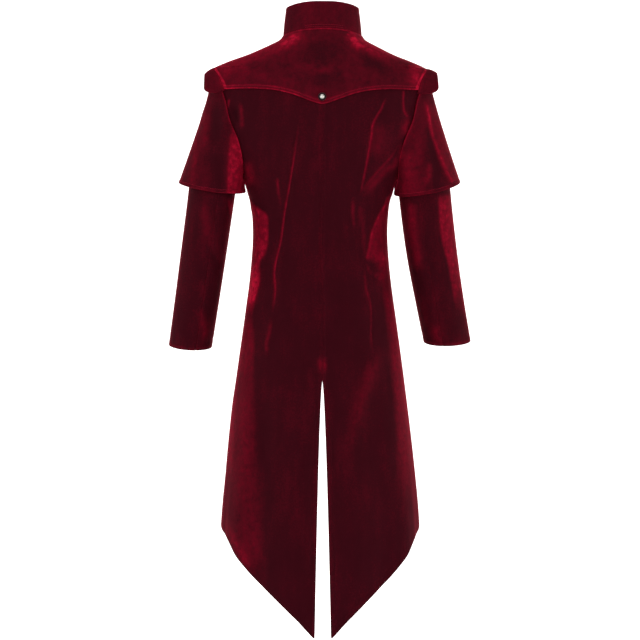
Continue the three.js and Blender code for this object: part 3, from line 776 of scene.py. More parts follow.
# A back panel has its folds and waves below the yoke, a dip along the middle seam and a hem beside the vent
def makeBack(side, sign):
    def pointAt(across, level):
        return backPoint(coreAcross(across, level, panelEdgeTurn(level, True)), level)

    points = middleSurface(pointAt, edgedColumns(back["columns"]), panelLevels(back))
    place = mirrored(points, sign)
    x, y, z = points[..., 0], points[..., 1], points[..., 2]
    below = smooth((back["yokeFoot"] - z) / back["yokeFade"])  # nothing stands up under the yoke
    lift, napAndPaintedLight = foldField(place, back["folds"][side])
    # the painted side sheen fades out towards the side seam
    napAndPaintedLight = napAndPaintedLight * smooth((y - back["sideFade"]) / back["sideFadeSpan"])
    lift = (lift + softWaves(place, back["waves"], 1.3 * sign)) * below
    seam = np.clip(1 - x / back["seamBand"], 0, 1) * smooth((z - body["ventTop"]) / back["seamFade"])
    lift = lift - back["seamDip"] * seam * below
    # a painted highlight along the middle seam
    beside = smooth((back["seamBand"] + 1 - x) / 2)
    napAndPaintedLight = napAndPaintedLight + back["seamPaintedLight"] * beside * smooth((z - back["seamPaintedLightFoot"]) / back["seamFade"])
    # a painted highlight along the vent's edges, and the vent's hem a little raised
    beyondVent = x - ventEdge(z)
    vent = smooth((back["ventBand"] + 1 - beyondVent) / 3)
    vent = vent * smooth((back["ventHemTop"] - z) / back["ventHemFade"])
    inner = mix(back["ventPaintedLightInner"], 1, np.exp(-beyondVent / back["ventPaintedLightFade"]))
    napAndPaintedLight = napAndPaintedLight + back["ventPaintedLight"] * vent * inner
    lift = lift + back["ventLift"] * vent
    points = points + gridNormals(points, -1, False) * lift[..., None]
    name = f"back_{side}_velvet"
    piece = makeSheet(name, mirrored(points, sign), body["cloth"], napAndPaintedLight, velvet, -sign, rimPaintedLight=0.2)
    finishPiece(piece, "velvet", f"back_{side}")


front = {
    "columns": 84,
    "skirtRows": 70,
    "waistRows": 26,
    "armRows": 56,
    "neckRows": 14,
    "flat": (0.31, 1.0),
    "area": 0.142,
    "waves": 0.7,
    "upperLap": 16,
    "lowerLap": 14,
    "lapRiseStart": 42,
    "lapRiseEnd": 20,
    "lapRise": 2.4,
    "clearFrom": 30,
    "clearSpan": 20,
    # the hidden side has like folds, with painted highlights along them: a long dart each side, pulls from
    # the armholes, soft ridges in the skirt
    "folds": [
        {"path": [(96, -205), (92, -260), (86, -330), (82, -410), (90, -480), (98, -560)], "width": 5,
         "lift": -1.7, "napAndPaintedLight": 0.34, "paintedLightWidth": 2.4},
        {"path": [(160, -235), (140, -262), (118, -296)], "width": 10, "lift": 2.4, "napAndPaintedLight": 0.2,
         "paintedLightWidth": 8},
        {"path": [(150, -290), (128, -318), (112, -352)], "width": 9, "lift": -1.8, "napAndPaintedLight": 0.16,
         "paintedLightWidth": 6},
        {"path": [(128, -420), (120, -450), (116, -500)], "width": 12, "lift": 1.8, "napAndPaintedLight": 0.12,
         "paintedLightWidth": 9},
        {"path": [(140, -600), (146, -700), (158, -820)], "width": 18, "lift": 2.6, "napAndPaintedLight": 0.16,
         "paintedLightWidth": 12},
    ],
}


# A front panel counts across from the edge of its lap, -1, past the middle, 0, to the side seam, 1
def frontPoint(across, level, lap, rise):
    edge = panelEdgeTurn(level, False)
    beside = np.maximum(across, 0)
    height = panelHeight(mix(180, edge, beside), level, False)
    past = np.maximum(-across, 0) * turnAt(lap, height)
    turn = drawnTurn(mix(180, edge + seamTurnAt(height), beside), level)
    point = bodyPoint(turn + past, height)
    reach = front["lapRiseStart"] - front["lapRiseEnd"]
    point[..., 1] -= rise * smooth((front["lapRiseStart"] - point[..., 0]) / reach)
    return point


# The left front laps over the right one: it reaches further past the middle and is raised there
def makeFront(side, sign):
    lap = front["upperLap"] if side == "left" else front["lowerLap"]
    rise = front["lapRise"] if side == "left" else 0
    columns = np.concatenate([np.linspace(-1, 0, 7)[:-1], edgedColumns(front["columns"], 0.4)])

    def pointAt(across, level):
        held = coreAcross(across, level, 180 - panelEdgeTurn(level, False))
        return frontPoint(np.where(across > 0, held, across), level, lap, rise)

    points = middleSurface(pointAt, columns, panelLevels(front), facing=1)
    lift, napAndPaintedLight = foldField(points, front["folds"])
    # the laps lie flat on each other
    apart = smooth((points[..., 0] - front["clearFrom"]) / front["clearSpan"])
    lift = (lift + softWaves(mirrored(points, sign), front["waves"], 2.1 * sign)) * apart + padLift(points)
    points = points + gridNormals(points, 1, False) * lift[..., None]
    piece = makeSheet(f"front_{side}_velvet", mirrored(points, sign), body["cloth"], napAndPaintedLight, velvet, sign)
    finishPiece(piece, "velvet", f"front_{side}")


collar = {
    "wall": 3,
    "lean": 6,
    "out": 1.2,
    "lift": 0.9,
    "corner": 22,
    "gapTurn": 1.2,
    "heights": np.array([(0, 57), (90, 60), (140, 56), (180, 50)]),
    "columns": 190,
    "rows": 26,
    "flat": (0.46, 0.064),
    "area": 0.026,
    "napAndPaintedLight": 0.10,
    "footPaintedLight": 0.12,
    "topPaintedLight": 0.08,
    "swell": 0.5,
    "waves": 0.3,
    "pipeRadius": 1.5,
    "pipeOut": 0.9,
    "pipeDrop": 0.4,
    "pipePaintedLight": 0.45,
    "pipeSides": 10,
    "stitchTurns": 26,
    "stitchHeights": (4.5, 8.5),
}


# The stand rises from the neck seam and leans in. At its two ends it is lower by a quarter of a circle.
def collarPoint(turn, rise):
    away = np.abs(turn)
    foot = bodyPoint(neckBodyTurn(away), neckHeight(away))
    outwards = unit(foot * np.array([1, 1, 0]))
    fromEnd = np.linalg.norm(foot, axis=-1) * np.radians(180 - collar["gapTurn"] - away)
    inset = collar["corner"] - np.minimum(fromEnd, collar["corner"])
    corner = collar["corner"] - np.sqrt(np.maximum(collar["corner"] ** 2 - inset**2, 0))
    height = readTable(collar["heights"], away, 1) - corner
    out = collar["out"] - collar["lean"] * rise * height / collar["heights"][0, 1]
    point = foot + outwards * out[..., None]
    point[..., 2] += collar["lift"] + rise * height
    point[..., 0] *= np.where(turn < 0, -1, 1)
    return point


# A round cord carried along a path: rings of points at right angles to it, with closed ends
def makeCord(name, path, radius, sides, material, napAndPaintedLight):
    along = unit(np.gradient(path, axis=0))
    side = unit(np.cross(along, np.array([0, 0, 1.0])))
    up = np.cross(side, along)
    angle = np.arange(sides) * 2 * math.pi / sides
    ring = np.cos(angle)[None, :, None] * side[:, None] + np.sin(angle)[None, :, None] * up[:, None]
    vertices = (path[:, None] + ring * radius).reshape(-1, 3)
    index = np.arange(len(vertices)).reshape(len(path), sides)
    faces = gridQuads(index, True)[:, ::-1].tolist() + [index[0].tolist(), index[-1][::-1].tolist()]
    finishPiece(makeMesh(name, vertices, faces, material, np.full(len(vertices), napAndPaintedLight)), "velvet")


def makeCollar():
    end = 180 - collar["gapTurn"]
    turns = np.linspace(-end, end, collar["columns"] + 1)
    rises = np.linspace(0, 1, collar["rows"] + 1)
    points = middleSurface(collarPoint, turns, rises, wall=collar["wall"])
    up = np.broadcast_to(rises[:, None], points.shape[:2])
    swell = collar["swell"] * np.sin(math.pi * up) ** 2  # the stand is a little fuller at half its height
    swell = swell + softWaves(points, collar["waves"], 0.7)
    points = points + gridNormals(points, -1, False) * swell[..., None]
    # painted highlights along the stand's foot and its top edge
    napAndPaintedLight = collar["napAndPaintedLight"] + collar["footPaintedLight"] * np.exp(-up / 0.06) + collar["topPaintedLight"] * np.exp(-(1 - up) / 0.05)
    piece = makeSheet("collar_velvet", points, collar["wall"], napAndPaintedLight, velvet, rimSteps=8, rimPaintedLight=0.35)
    finishPiece(piece, "velvet", "collar")
    # the piping carries a painted highlight all along
    foot = collarPoint(turns, np.zeros_like(turns))
    foot[:, 2] -= collar["pipeDrop"]
    outwards = unit(foot * np.array([1, 1, 0]))
    path = foot + outwards * collar["pipeOut"]
    makeCord("collar_piping", path, collar["pipeRadius"], collar["pipeSides"], velvet, collar["pipePaintedLight"])
    runs = []
    line = np.linspace(-collar["stitchTurns"], collar["stitchTurns"], 60)
    for height in collar["stitchHeights"]:
        runs.append(lineOver(collarPoint, line, np.full_like(line, height / collar["heights"][0, 1]), 0.5))
    makeStitches("collar_stitching", runs)


yoke = {
    "edge": -115,
    "pointDrop": 34,
    "pointSpread": 47,
    "pointPower": 1.4,
    "armLevel": 2.9,
    "topLevel": 3.97,
    "trim": 0.016,
    "raised": 2.5,
    "columns": 190,
    "edgeRows": 26,
    "armRows": 6,
    "neckRows": 22,
    "flat": (0.46, 0.17),
    "area": 0.062,
    "napAndPaintedLight": 0.11,
    "waves": 0.35,
    "edgeBand": 6.5,
    "edgePaintedLight": 0.1,
    "edgeLinePaintedLight": 0.42,
    "edgeLift": 0.7,
    "edgeRight": 0.65,
    "armBand": 11,
    "armPaintedLight": 0.46,
    "armLift": 0.8,
    "armTop": -60,
    "armFade": 10,
    "stitchIn": 6,
    "stitchDip": 0.5,
    "armStitches": (3.5, 9),
    # x, z paths of painted light: painted highlights on the slopes beside the neck and at the arm ends,
    # painted shade down the soft bend at the middle
    "folds": [
        {"path": [(36, 2), (58, -8), (84, -22), (130, -42), (176, -62), (206, -76)], "napAndPaintedLight": 0.26,
         "paintedLightWidth": 15, "width": 18, "lift": 0.8, "fadeIn": 0.1, "fadeOut": 0.2},
        {"path": [(56, -2), (66, -14), (92, -30)], "napAndPaintedLight": 0.28, "paintedLightWidth": 11, "fadeIn": 0.1},
        {"path": [(-50, 4), (-62, -8), (-86, -24), (-124, -42), (-160, -56)], "napAndPaintedLight": 0.34, "paintedLightWidth": 12,
         "width": 18, "lift": 0.8, "fadeIn": 0.05, "fadeOut": 0.4},
        {"path": [(-56, -6), (-66, -22), (-78, -34)], "napAndPaintedLight": 0.32, "paintedLightWidth": 9, "fadeIn": 0.1},
        {"path": [(-64, -40), (-104, -60), (-152, -86)], "napAndPaintedLight": -0.1, "paintedLightWidth": 14},
        {"path": [(206, -62), (200, -78), (190, -100)], "napAndPaintedLight": 0.18, "paintedLightWidth": 10, "fadeIn": 0.05},
        {"path": [(-190, -62), (-197, -86), (-188, -114)], "napAndPaintedLight": 0.34, "paintedLightWidth": 15, "fadeIn": 0.05},
        {"path": [(44, -70), (6, -80), (-30, -74)], "napAndPaintedLight": 0.09, "paintedLightWidth": 7, "width": 10, "lift": 0.8},
        {"path": [(190, -92), (150, -88), (96, -96)], "napAndPaintedLight": 0.08, "paintedLightWidth": 12},
        {"path": [(4, -12), (4, -40), (2, -70)], "napAndPaintedLight": -0.06, "paintedLightWidth": 30, "width": 24, "lift": -1.2},
        {"path": [(0, -82), (-2, -100), (0, -124)], "napAndPaintedLight": -0.08, "paintedLightWidth": 32},
    ],
}


# The lower edge: a level line less a peaked bell at the middle
def yokeLowest(beside):
    peak = np.exp(-((beside / yoke["pointSpread"]) ** yoke["pointPower"]))
    return yoke["edge"] - yoke["pointDrop"] * peak


# Rows of the yoke: 0 to 2 from its lower edge, 2 to 4 to the shoulder points, 4 to 8 up to the neck
def yokeLevel(across, row):
    beside = np.abs(across) * armholePoint(60)[0]
    part = (body["shoulderPoint"] - yokeLowest(beside)) / (body["shoulderPoint"] - body["armholeFoot"])
    lowest = 3 - np.degrees(np.arccos(1 - 2 * part)) / 180
    first = mix(lowest, yoke["armLevel"], row / 2)
    second = mix(yoke["armLevel"], 3, (row - 2) / 2)
    third = mix(3, yoke["topLevel"], (row - 4) / 4)
    return np.select([row <= 2, row <= 4], [first, second], third)


# The yoke counts across from the right armhole, -1, to the left one, 1
def yokePoint(across, row):
    level = yokeLevel(across, row)
    side = np.abs(across)
    edge = panelEdgeTurn(level, True)
    point = bodyPoint(drawnTurn(edge * side, level), panelHeight(edge * side, level, True))
    point[..., 0] *= np.sign(across)
    return point


# The yoke has folds with painted highlights and shade, turned edges with painted highlight lines, and rows of
# stitching along its edge and armholes
def makeYoke():
    even = np.linspace(-1, 1, yoke["columns"] + 1)
    columns = np.sign(even) * (1 - (1 - np.abs(even)) ** 1.25) * (1 - yoke["trim"])
    rows = np.concatenate([
        2 * np.linspace(0, 1, yoke["edgeRows"] + 1) ** 1.5,
        np.linspace(2, 4, yoke["armRows"] + 1)[1:],
        np.linspace(4, 8, yoke["neckRows"] + 1)[1:],
    ])
    points = middleSurface(yokePoint, columns, rows, raised=yoke["raised"])
    lift, napAndPaintedLight = foldField(points, yoke["folds"])
    lift = lift + softWaves(points, yoke["waves"], 0.4)
    fromEdge = np.zeros(points.shape[:2])
    fromEdge[1:] = np.cumsum(np.linalg.norm(np.diff(points, axis=0), axis=2), axis=0)
    fromRight = np.zeros(points.shape[:2])
    fromRight[:, 1:] = np.cumsum(np.linalg.norm(np.diff(points, axis=1), axis=2), axis=1)
    fromLeft = fromRight[:, -1:] - fromRight
    fromArm = np.minimum(fromRight, fromLeft)
    x, z = points[..., 0], points[..., 2]
    strong = mix(yoke["edgeRight"], 1, smooth(x / 60))  # the painted highlight on the edge is stronger on its left half, and uneven all along
    strong = strong * (1 + 0.4 * np.sin(x / 9 + 0.6) * np.sin(x / 23))  # and all of it unevenly
    # painted highlight lines at the turned edge and at the stitching, and a painted lighter band up to them
    edgeHighlightLines = bell(fromEdge, 1.5) + 0.7 * bell(fromEdge - 7.5, 1.3)
    napAndPaintedLight = napAndPaintedLight + yoke["napAndPaintedLight"] + yoke["edgePaintedLight"] * strong * smooth((yoke["edgeBand"] + 1.5 - fromEdge) / 3)
    napAndPaintedLight = napAndPaintedLight + yoke["edgeLinePaintedLight"] * strong * edgeHighlightLines
    belowShoulder = smooth((yoke["armTop"] - z) / yoke["armFade"])
    # painted highlight bands along the armhole ends, below the shoulders
    napAndPaintedLight = napAndPaintedLight + yoke["armPaintedLight"] * smooth((yoke["armBand"] + 2 - fromArm) / 4) * belowShoulder
    # the edges are turned under, so they are a little thicker up to the stitching
    lift = lift + padLift(points) + yoke["edgeLift"] * smooth((yoke["edgeBand"] - fromEdge) / 2)
    lift = lift + yoke["armLift"] * smooth((yoke["armBand"] - fromArm) / 3) * belowShoulder
    lift = lift - yoke["stitchDip"] * bell(fromEdge - yoke["stitchIn"], 1.2)
    points = points + gridNormals(points, -1, False) * lift[..., None]
    piece = makeSheet("yoke_velvet", points, body["cloth"], napAndPaintedLight, velvet, rimSteps=6, rimPaintedLight=0.5)
    finishPiece(piece, "velvet", "yoke")
    normals = gridNormals(points, -1, False)
    above = points + normals * body["cloth"] / 2
    row = np.argmin(np.abs(fromEdge - yoke["stitchIn"]), axis=0)
    pick = np.arange(points.shape[1])
    runs = [(above[row, pick][4:-4], normals[row, pick][4:-4])]
    line = np.arange(points.shape[0])
    keep = slice(2, yoke["edgeRows"] + yoke["armRows"] + 4)
    for distance in yoke["armStitches"]:
        for table in (fromRight, fromLeft):
            column = np.argmin(np.abs(table - distance), axis=1)
            runs.append((above[line, column][keep], normals[line, column][keep]))
    makeStitches("yoke_stitching", runs)


sleeve = {
    "raised": 1.75,
    "columnsUpper": 84,
    "columnsUnder": 56,
    "capRows": 44,
    "armRows": 110,
    "start": 0.9,
    "footStart": 8,
    "upperFrom": -126,
    "upperTo": 108,
    "seamTurn": 0.17,
    "steerTop": -0.24,
    "steerFoot": 0.05,
    "underArmSteer": 0.8,
    "underArmPower": 4,
    "headBelowHem": 4,
    "flatUpper": (0.24, 0.61),
    "areaUpper": 0.114,
    "flatUnder": (0.14, 0.45),
    "areaUnder": 0.045,
    "napAndPaintedLight": 0.03,
    "hemBand": 8,
    "hemPaintedLight": 0.12,
    "waves": 0.6,
    "hemIn": 16,
    "hemDip": 0.5,
    "seamDip": 0.8,
    "seamBand": 2.2,
    "seamPaintedLight": 0.05,
    "turnLength": 0.85,
    "armLength": 320,
    # height, out, back, half width, half depth
    "arms": {
        "left": np.array([
            (-655, 274.5, -35, 46, 48), (-550, 259, -13, 47, 50.5), (-450, 244.3, 2, 48, 53),
            (-345, 229.5, 4, 49, 55), (-290, 223, 3, 50, 56),
        ]),
        "right": np.array([
            (-655, 274.5, -35, 50, 48), (-550, 253, -13, 51.5, 51), (-450, 235, 2, 53.5, 54),
            (-345, 221.5, 4, 54.5, 56), (-290, 216.5, 3, 55, 57),
        ]),
    },
    # outer height, inner height, how much lower behind
    "cuffs": {"left": (-643, -648, 9), "right": (-634, -638, 10)},
    # the folds paint highlights on ridges, shade in troughs, and a sheen on the sides that turn away
    "foldsBehind": {
        "left": [
            {"path": [(244, -345), (238, -390), (228, -450)], "width": 12, "lift": 1.6, "napAndPaintedLight": 0.1,
             "paintedLightWidth": 10},
            {"path": [(196, -325), (192, -360), (182, -400)], "shade": 0.36, "toward": -1, "edge": 5,
             "reach": 50, "fadeIn": 0.02, "fadeOut": 0.6},
            {"path": [(240, -440), (222, -462), (212, -486)], "width": 10, "lift": -2.2, "napAndPaintedLight": -0.05},
            {"path": [(262, -500), (246, -528), (238, -560)], "width": 12, "lift": 1.8, "napAndPaintedLight": 0.06,
             "paintedLightWidth": 9},
            {"path": [(252, -560), (246, -600), (240, -640)], "width": 12, "lift": 1.4, "napAndPaintedLight": 0.14,
             "paintedLightWidth": 8},
        ],
        "right": [
            {"path": [(-242, -328), (-249, -415), (-267, -488), (-288, -600)], "shade": 0.4, "toward": -1,
             "edge": 6, "reach": 50, "fadeIn": 0.03, "fadeOut": 0.3},
            {"path": [(-190, -345), (-192, -400), (-200, -450), (-206, -500)], "napAndPaintedLight": 0.26, "paintedLightWidth": 8,
             "width": 9, "lift": 1.8, "fadeIn": 0.05},
            {"path": [(-186, -345), (-190, -372), (-192, -400)], "napAndPaintedLight": 0.1, "paintedLightWidth": 3, "width": 5,
             "lift": -1.2},
            {"path": [(-212, -452), (-228, -478), (-246, -500)], "width": 10, "lift": -2.2, "napAndPaintedLight": -0.05},
            {"path": [(-238, -600), (-244, -625), (-252, -642)], "napAndPaintedLight": 0.2, "paintedLightWidth": 6, "width": 8,
             "lift": 1},
        ],
    },
    "foldsBefore": [
        {"path": [(206, -430), (222, -452), (246, -466)], "width": 9, "lift": -2.6, "napAndPaintedLight": 0.16,
         "paintedLightWidth": 6},
        {"path": [(208, -470), (228, -486), (252, -492)], "width": 9, "lift": 2.2, "napAndPaintedLight": 0.2,
         "paintedLightWidth": 7},
        {"path": [(226, -500), (240, -528), (258, -546)], "width": 11, "lift": -1.8, "napAndPaintedLight": 0.1,
         "paintedLightWidth": 7},
        {"path": [(216, -350), (226, -380), (232, -420)], "width": 12, "lift": 1.6, "napAndPaintedLight": 0.12,
         "paintedLightWidth": 9},
    ],
}

halfSleeve = {
    # outer end out and height, inner end out and height, how much lower behind
    "hems": {"left": (296.5, -304.5, 156.5, -323, 14), "right": (295, -301, 155.5, -328, 16)},
    "steerTop": {"left": -0.14, "right": -0.08},
    "depthBehind": 69,
    "depthBefore": 78,
    "raised": 3.85,
    "footStart": 6.3,
    "footDrop": 1,
    "flare": 0.2,
    "slope": 0.14,
    "columns": 150,
    "rows": 74,
    "flat": (0.48, 0.29),
    "area": 0.061,
    "napAndPaintedLight": 0.07,
    "hemBand": 6.5,
    "stitchIn": 6,
    # the folds paint highlights on ridges, shade in troughs, and a sheen on the sides that turn away
    "foldsBehind": {
        "left": [
            {"path": [(184, -190), (190, -230), (194, -280), (196, -335)], "shade": 0.42, "toward": -1,
             "edge": 6, "reach": 60, "width": 9, "lift": 1.8, "fadeIn": 0.3, "fadeOut": 0.02},
            {"path": [(236, -135), (240, -190), (238, -252)], "napAndPaintedLight": 0.12, "paintedLightWidth": 7, "width": 12,
             "lift": 1.8},
            {"path": [(253, -190), (261, -262), (267, -314)], "napAndPaintedLight": 0.16, "paintedLightWidth": 8, "width": 12,
             "lift": 1.5, "fadeOut": 0.02},
            {"path": [(222, -140), (218, -190), (220, -240)], "width": 11, "lift": -2, "napAndPaintedLight": -0.08,
             "paintedLightWidth": 10},
            {"path": [(226, -236), (214, -280), (216, -330)], "width": 14, "lift": -2, "napAndPaintedLight": -0.1,
             "paintedLightWidth": 14, "fadeOut": 0.02},
        ],
        "right": [
            {"path": [(-215, -134), (-226, -190), (-238, -231), (-254, -272), (-272, -308)], "napAndPaintedLight": 0.36,
             "paintedLightWidth": 4, "width": 8, "lift": 2.2, "shade": 0.16, "toward": -1, "reach": 40,
             "fadeIn": 0.1, "fadeOut": 0.02},
            {"path": [(-191, -195), (-199, -241), (-204, -283)], "width": 12, "lift": -1.8, "napAndPaintedLight": 0.05,
             "paintedLightWidth": 9},
            {"path": [(-176, -230), (-182, -280), (-184, -330)], "napAndPaintedLight": 0.2, "paintedLightWidth": 20, "width": 16,
             "lift": 1.4, "fadeOut": 0.02},
            {"path": [(-224, -262), (-222, -290), (-216, -312)], "napAndPaintedLight": 0.24, "paintedLightWidth": 6, "width": 8,
             "lift": 1.5},
            {"path": [(-226, -150), (-232, -220), (-238, -290), (-240, -335)], "width": 10, "lift": -2.2,
             "napAndPaintedLight": -0.12, "paintedLightWidth": 9, "fadeOut": 0.02},
        ],
    },
    "foldsBefore": [
        {"path": [(188, -180), (186, -240), (184, -320)], "width": 12, "lift": 2, "napAndPaintedLight": 0.2,
         "paintedLightWidth": 10, "fadeOut": 0.02},
        {"path": [(214, -170), (218, -240), (222, -325)], "width": 12, "lift": -2.2, "napAndPaintedLight": 0.04,
         "fadeOut": 0.02},
        {"path": [(244, -170), (252, -240), (260, -315)], "width": 13, "lift": 2, "napAndPaintedLight": 0.16,
         "paintedLightWidth": 9, "fadeOut": 0.02},
    ],
}


# A line that leaves one point, steered sideways, and ends at another in a given direction: a cubic
def capPoint(start, end, endDirection, steer, part):
    reach = np.linalg.norm(end - start, axis=-1, keepdims=True)
    direction = unit((end - start) / reach + vector(steer, 0, 0))
    return cubic(start, reach * direction, end, reach * endDirection, np.asarray(part)[..., None])


def sleeveEdge(armTurn, beside, out):  # the armhole's edge, moved sideways and outwards
    edge = armholePoint(armTurn) + armholeOutwards(armTurn) * np.asarray(out)[..., None]
    edge[..., 0] += beside
    return edge


# A level ring round the arm by its outer and inner heights: their mean, tilted, and lower behind
def ringHeight(outerHeight, innerHeight, behind, armTurn):
    angle = np.radians(armTurn)
    tilt = (outerHeight - innerHeight) / 2 * np.cos(angle)
    return (outerHeight + innerHeight) / 2 + tilt - behind * np.sin(angle)

def armPoint(side, armTurn, height):  # level sections of the arm are ellipses
    table = sleeve["arms"][side]
    across = (readTable(table, height, 3) - sleeve["raised"]) * np.cos(np.radians(armTurn))
    deep = (readTable(table, height, 4) - sleeve["raised"]) * np.sin(np.radians(armTurn))
    return vector(readTable(table, height, 1) + across, readTable(table, height, 2) + deep, height)


# Part 0 to 1 is the sleeve head, from the armhole to just below the half sleeve, 1 to 2 the rest to the cuff
def sleevePoint(side, armTurn, part):
    _, outerHeight, _, innerHeight, behind = halfSleeve["hems"][side]
    top = ringHeight(outerHeight, innerHeight, behind, armTurn) - sleeve["headBelowHem"]
    foot = ringHeight(*sleeve["cuffs"][side], armTurn)
    lower = armPoint(side, armTurn, mix(top, foot, np.maximum(part - 1, 0)))
    end = armPoint(side, armTurn, top)
    direction = unit(armPoint(side, armTurn, top - 5) - end)
    under = (1 - np.cos(np.radians(armTurn))) / 2
    steer = mix(sleeve["steerTop"], sleeve["steerFoot"], under)
    steer = mix(steer, sleeve["underArmSteer"], under ** sleeve["underArmPower"])
    beside = mix(sleeve["start"], sleeve["footStart"], under ** sleeve["underArmPower"])
    head = capPoint(sleeveEdge(armTurn, beside, 0.0), end, direction, steer, np.minimum(part, 1))
    return np.where((part >= 1)[..., None], lower, head)


# The half sleeve is a cubic from the armhole's edge to its hem, half an ellipse behind and half one before
def halfSleevePoint(side, armTurn, part):
    outerOut, outerHeight, innerOut, innerHeight, behind = halfSleeve["hems"][side]
    angle = np.radians(armTurn)
    outwards, backwards = np.cos(angle), np.sin(angle)
    raised = halfSleeve["raised"]
    depth = np.where(backwards > 0, halfSleeve["depthBehind"], halfSleeve["depthBefore"]) - raised
    hem = vector(mix(innerOut + raised, outerOut - raised, (1 + outwards) / 2), depth * backwards,
                 ringHeight(outerHeight, innerHeight, behind, armTurn))
    flare = halfSleeve["flare"]
    direction = unit(vector(halfSleeve["slope"], 0, -1) + flare * vector(outwards, backwards, 0))
    under = (1 - outwards) / 2
    beside = mix(sleeve["start"], halfSleeve["footStart"], under ** sleeve["underArmPower"])
    start = sleeveEdge(armTurn, beside, halfSleeve["footDrop"] * under)
    steer = mix(halfSleeve["steerTop"][side], sleeve["steerFoot"], under)
    return capPoint(start, hem, direction, steer, part)


# Adds the folds of the two faces of a sleeve, each on its own half
def sleeveFolds(points, place, behindFolds, beforeFolds, middle):
    behind = smooth((points[..., 1] - middle) / 20 + 0.5)
    liftBehind, napAndPaintedLightBehind = foldField(place, behindFolds, behind)
    liftBefore, napAndPaintedLightBefore = foldField(points, beforeFolds, 1 - behind)
    return liftBehind + liftBefore, napAndPaintedLightBehind + napAndPaintedLightBefore


# The long sleeve's two pieces, each with folds below the head, dipped seams and a turned hem
def makeSleeve(side, sign):
    pieces = (
        ("upper", sleeve["upperFrom"], sleeve["upperTo"], sleeve["columnsUpper"]),
        ("under", sleeve["upperTo"], sleeve["upperFrom"] + 360, sleeve["columnsUnder"]),
    )
    levels = np.concatenate([
        np.linspace(0, 1, sleeve["capRows"] + 1), np.linspace(1, 2, sleeve["armRows"] + 1)[1:],
    ])

    def pointAt(armTurn, part):
        return sleevePoint(side, armTurn, part)

    for name, start, end, columns in pieces:
        turns = np.linspace(start + sleeve["seamTurn"], end - sleeve["seamTurn"], columns + 1)
        points = middleSurface(pointAt, turns, levels, raised=sleeve["raised"])
        middle = readTable(sleeve["arms"][side], points[..., 2], 2)
        folds = sleeve["foldsBehind"][side], sleeve["foldsBefore"]
        lift, napAndPaintedLight = sleeveFolds(points, mirrored(points, sign), *folds, middle)
        part = np.broadcast_to(levels[:, None], points.shape[:2])
        below = smooth((part - 1) / 0.08)  # the head stays smooth under the half sleeve
        turn = np.broadcast_to(turns[None], points.shape[:2])
        fromSeam = np.minimum(turn - start, end - turn) * sleeve["turnLength"]
        seamDip = sleeve["seamDip"] * bell(fromSeam, sleeve["seamBand"])
        lift = lift + softWaves(points, sleeve["waves"], 0.9 * sign) - seamDip
        toCuff = (2 - part) * sleeve["armLength"]
        lift = lift * below - sleeve["hemDip"] * bell(toCuff - sleeve["hemIn"], 2)
        # painted highlights along the seams and at the cuff
        napAndPaintedLight = sleeve["napAndPaintedLight"] + (napAndPaintedLight + sleeve["seamPaintedLight"] * np.exp(-fromSeam / 2)) * below
        napAndPaintedLight = napAndPaintedLight + sleeve["hemPaintedLight"] * smooth((sleeve["hemBand"] - toCuff) / 4)
        points = mirrored(points + gridNormals(points, -1, False) * lift[..., None], sign)
        piece = makeSheet(f"{name}_sleeve_{side}_velvet", points, body["cloth"], napAndPaintedLight, velvet, -sign)
        finishPiece(piece, "velvet", f"{name}_sleeve_{side}")


# The half sleeve is a ring of columns, with folds that fade towards the armhole and a stitched hem
def makeHalfSleeve(side, sign):
    def pointAt(armTurn, part):
        return halfSleevePoint(side, armTurn, part)

    turns = np.linspace(-180, 180, halfSleeve["columns"] + 1)[:-1]
    parts = 1 - (1 - np.linspace(0, 1, halfSleeve["rows"] + 1)) ** 1.2
    points = middleSurface(pointAt, turns, parts, raised=halfSleeve["raised"], ring=True)
    folds = halfSleeve["foldsBehind"][side], halfSleeve["foldsBefore"]
    lift, napAndPaintedLight = sleeveFolds(points, mirrored(points, sign), *folds, 0)
    part = np.broadcast_to(parts[:, None], points.shape[:2])
    length = np.linalg.norm(np.diff(points, axis=0), axis=2)
    fromHem = np.concatenate([np.cumsum(length[::-1], axis=0)[::-1], np.zeros((1, points.shape[1]))])
    fromSeam = np.concatenate([np.zeros((1, points.shape[1])), np.cumsum(length, axis=0)])
    clear = smooth(part / 0.3)
    lift = np.maximum(lift + softWaves(points, 0.5, 1.7 * sign), -1.2) * clear
    lift = lift + 0.5 * smooth((halfSleeve["hemBand"] - fromHem) / 2)
    lift = lift - 0.5 * bell(fromHem - halfSleeve["stitchIn"], 1.2)
    # painted highlights along the armhole seam and the hem band
    napAndPaintedLight = napAndPaintedLight + halfSleeve["napAndPaintedLight"] + 0.4 * np.exp(-fromSeam / 3)
    napAndPaintedLight = napAndPaintedLight + 0.09 * smooth((halfSleeve["hemBand"] + 1 - fromHem) / 3)
    points = points + gridNormals(points, -1, True) * lift[..., None]
    name = f"half_sleeve_{side}"
    piece = makeSheet(f"{name}_velvet", mirrored(points, sign), body["cloth"], napAndPaintedLight, velvet, -sign, True)
    finishPiece(piece, "velvet", name)
    normals = gridNormals(points, -1, True)
    row = np.argmin(np.abs(fromHem - halfSleeve["stitchIn"]), axis=0)
    pick = np.append(np.arange(points.shape[1]), 0)  # the run closes on its first column
    path = (points + normals * body["cloth"] / 2)[row[pick], pick]
    makeStitches(f"{name}_stitching", [(mirrored(path, sign), mirrored(normals[row[pick], pick], sign))])


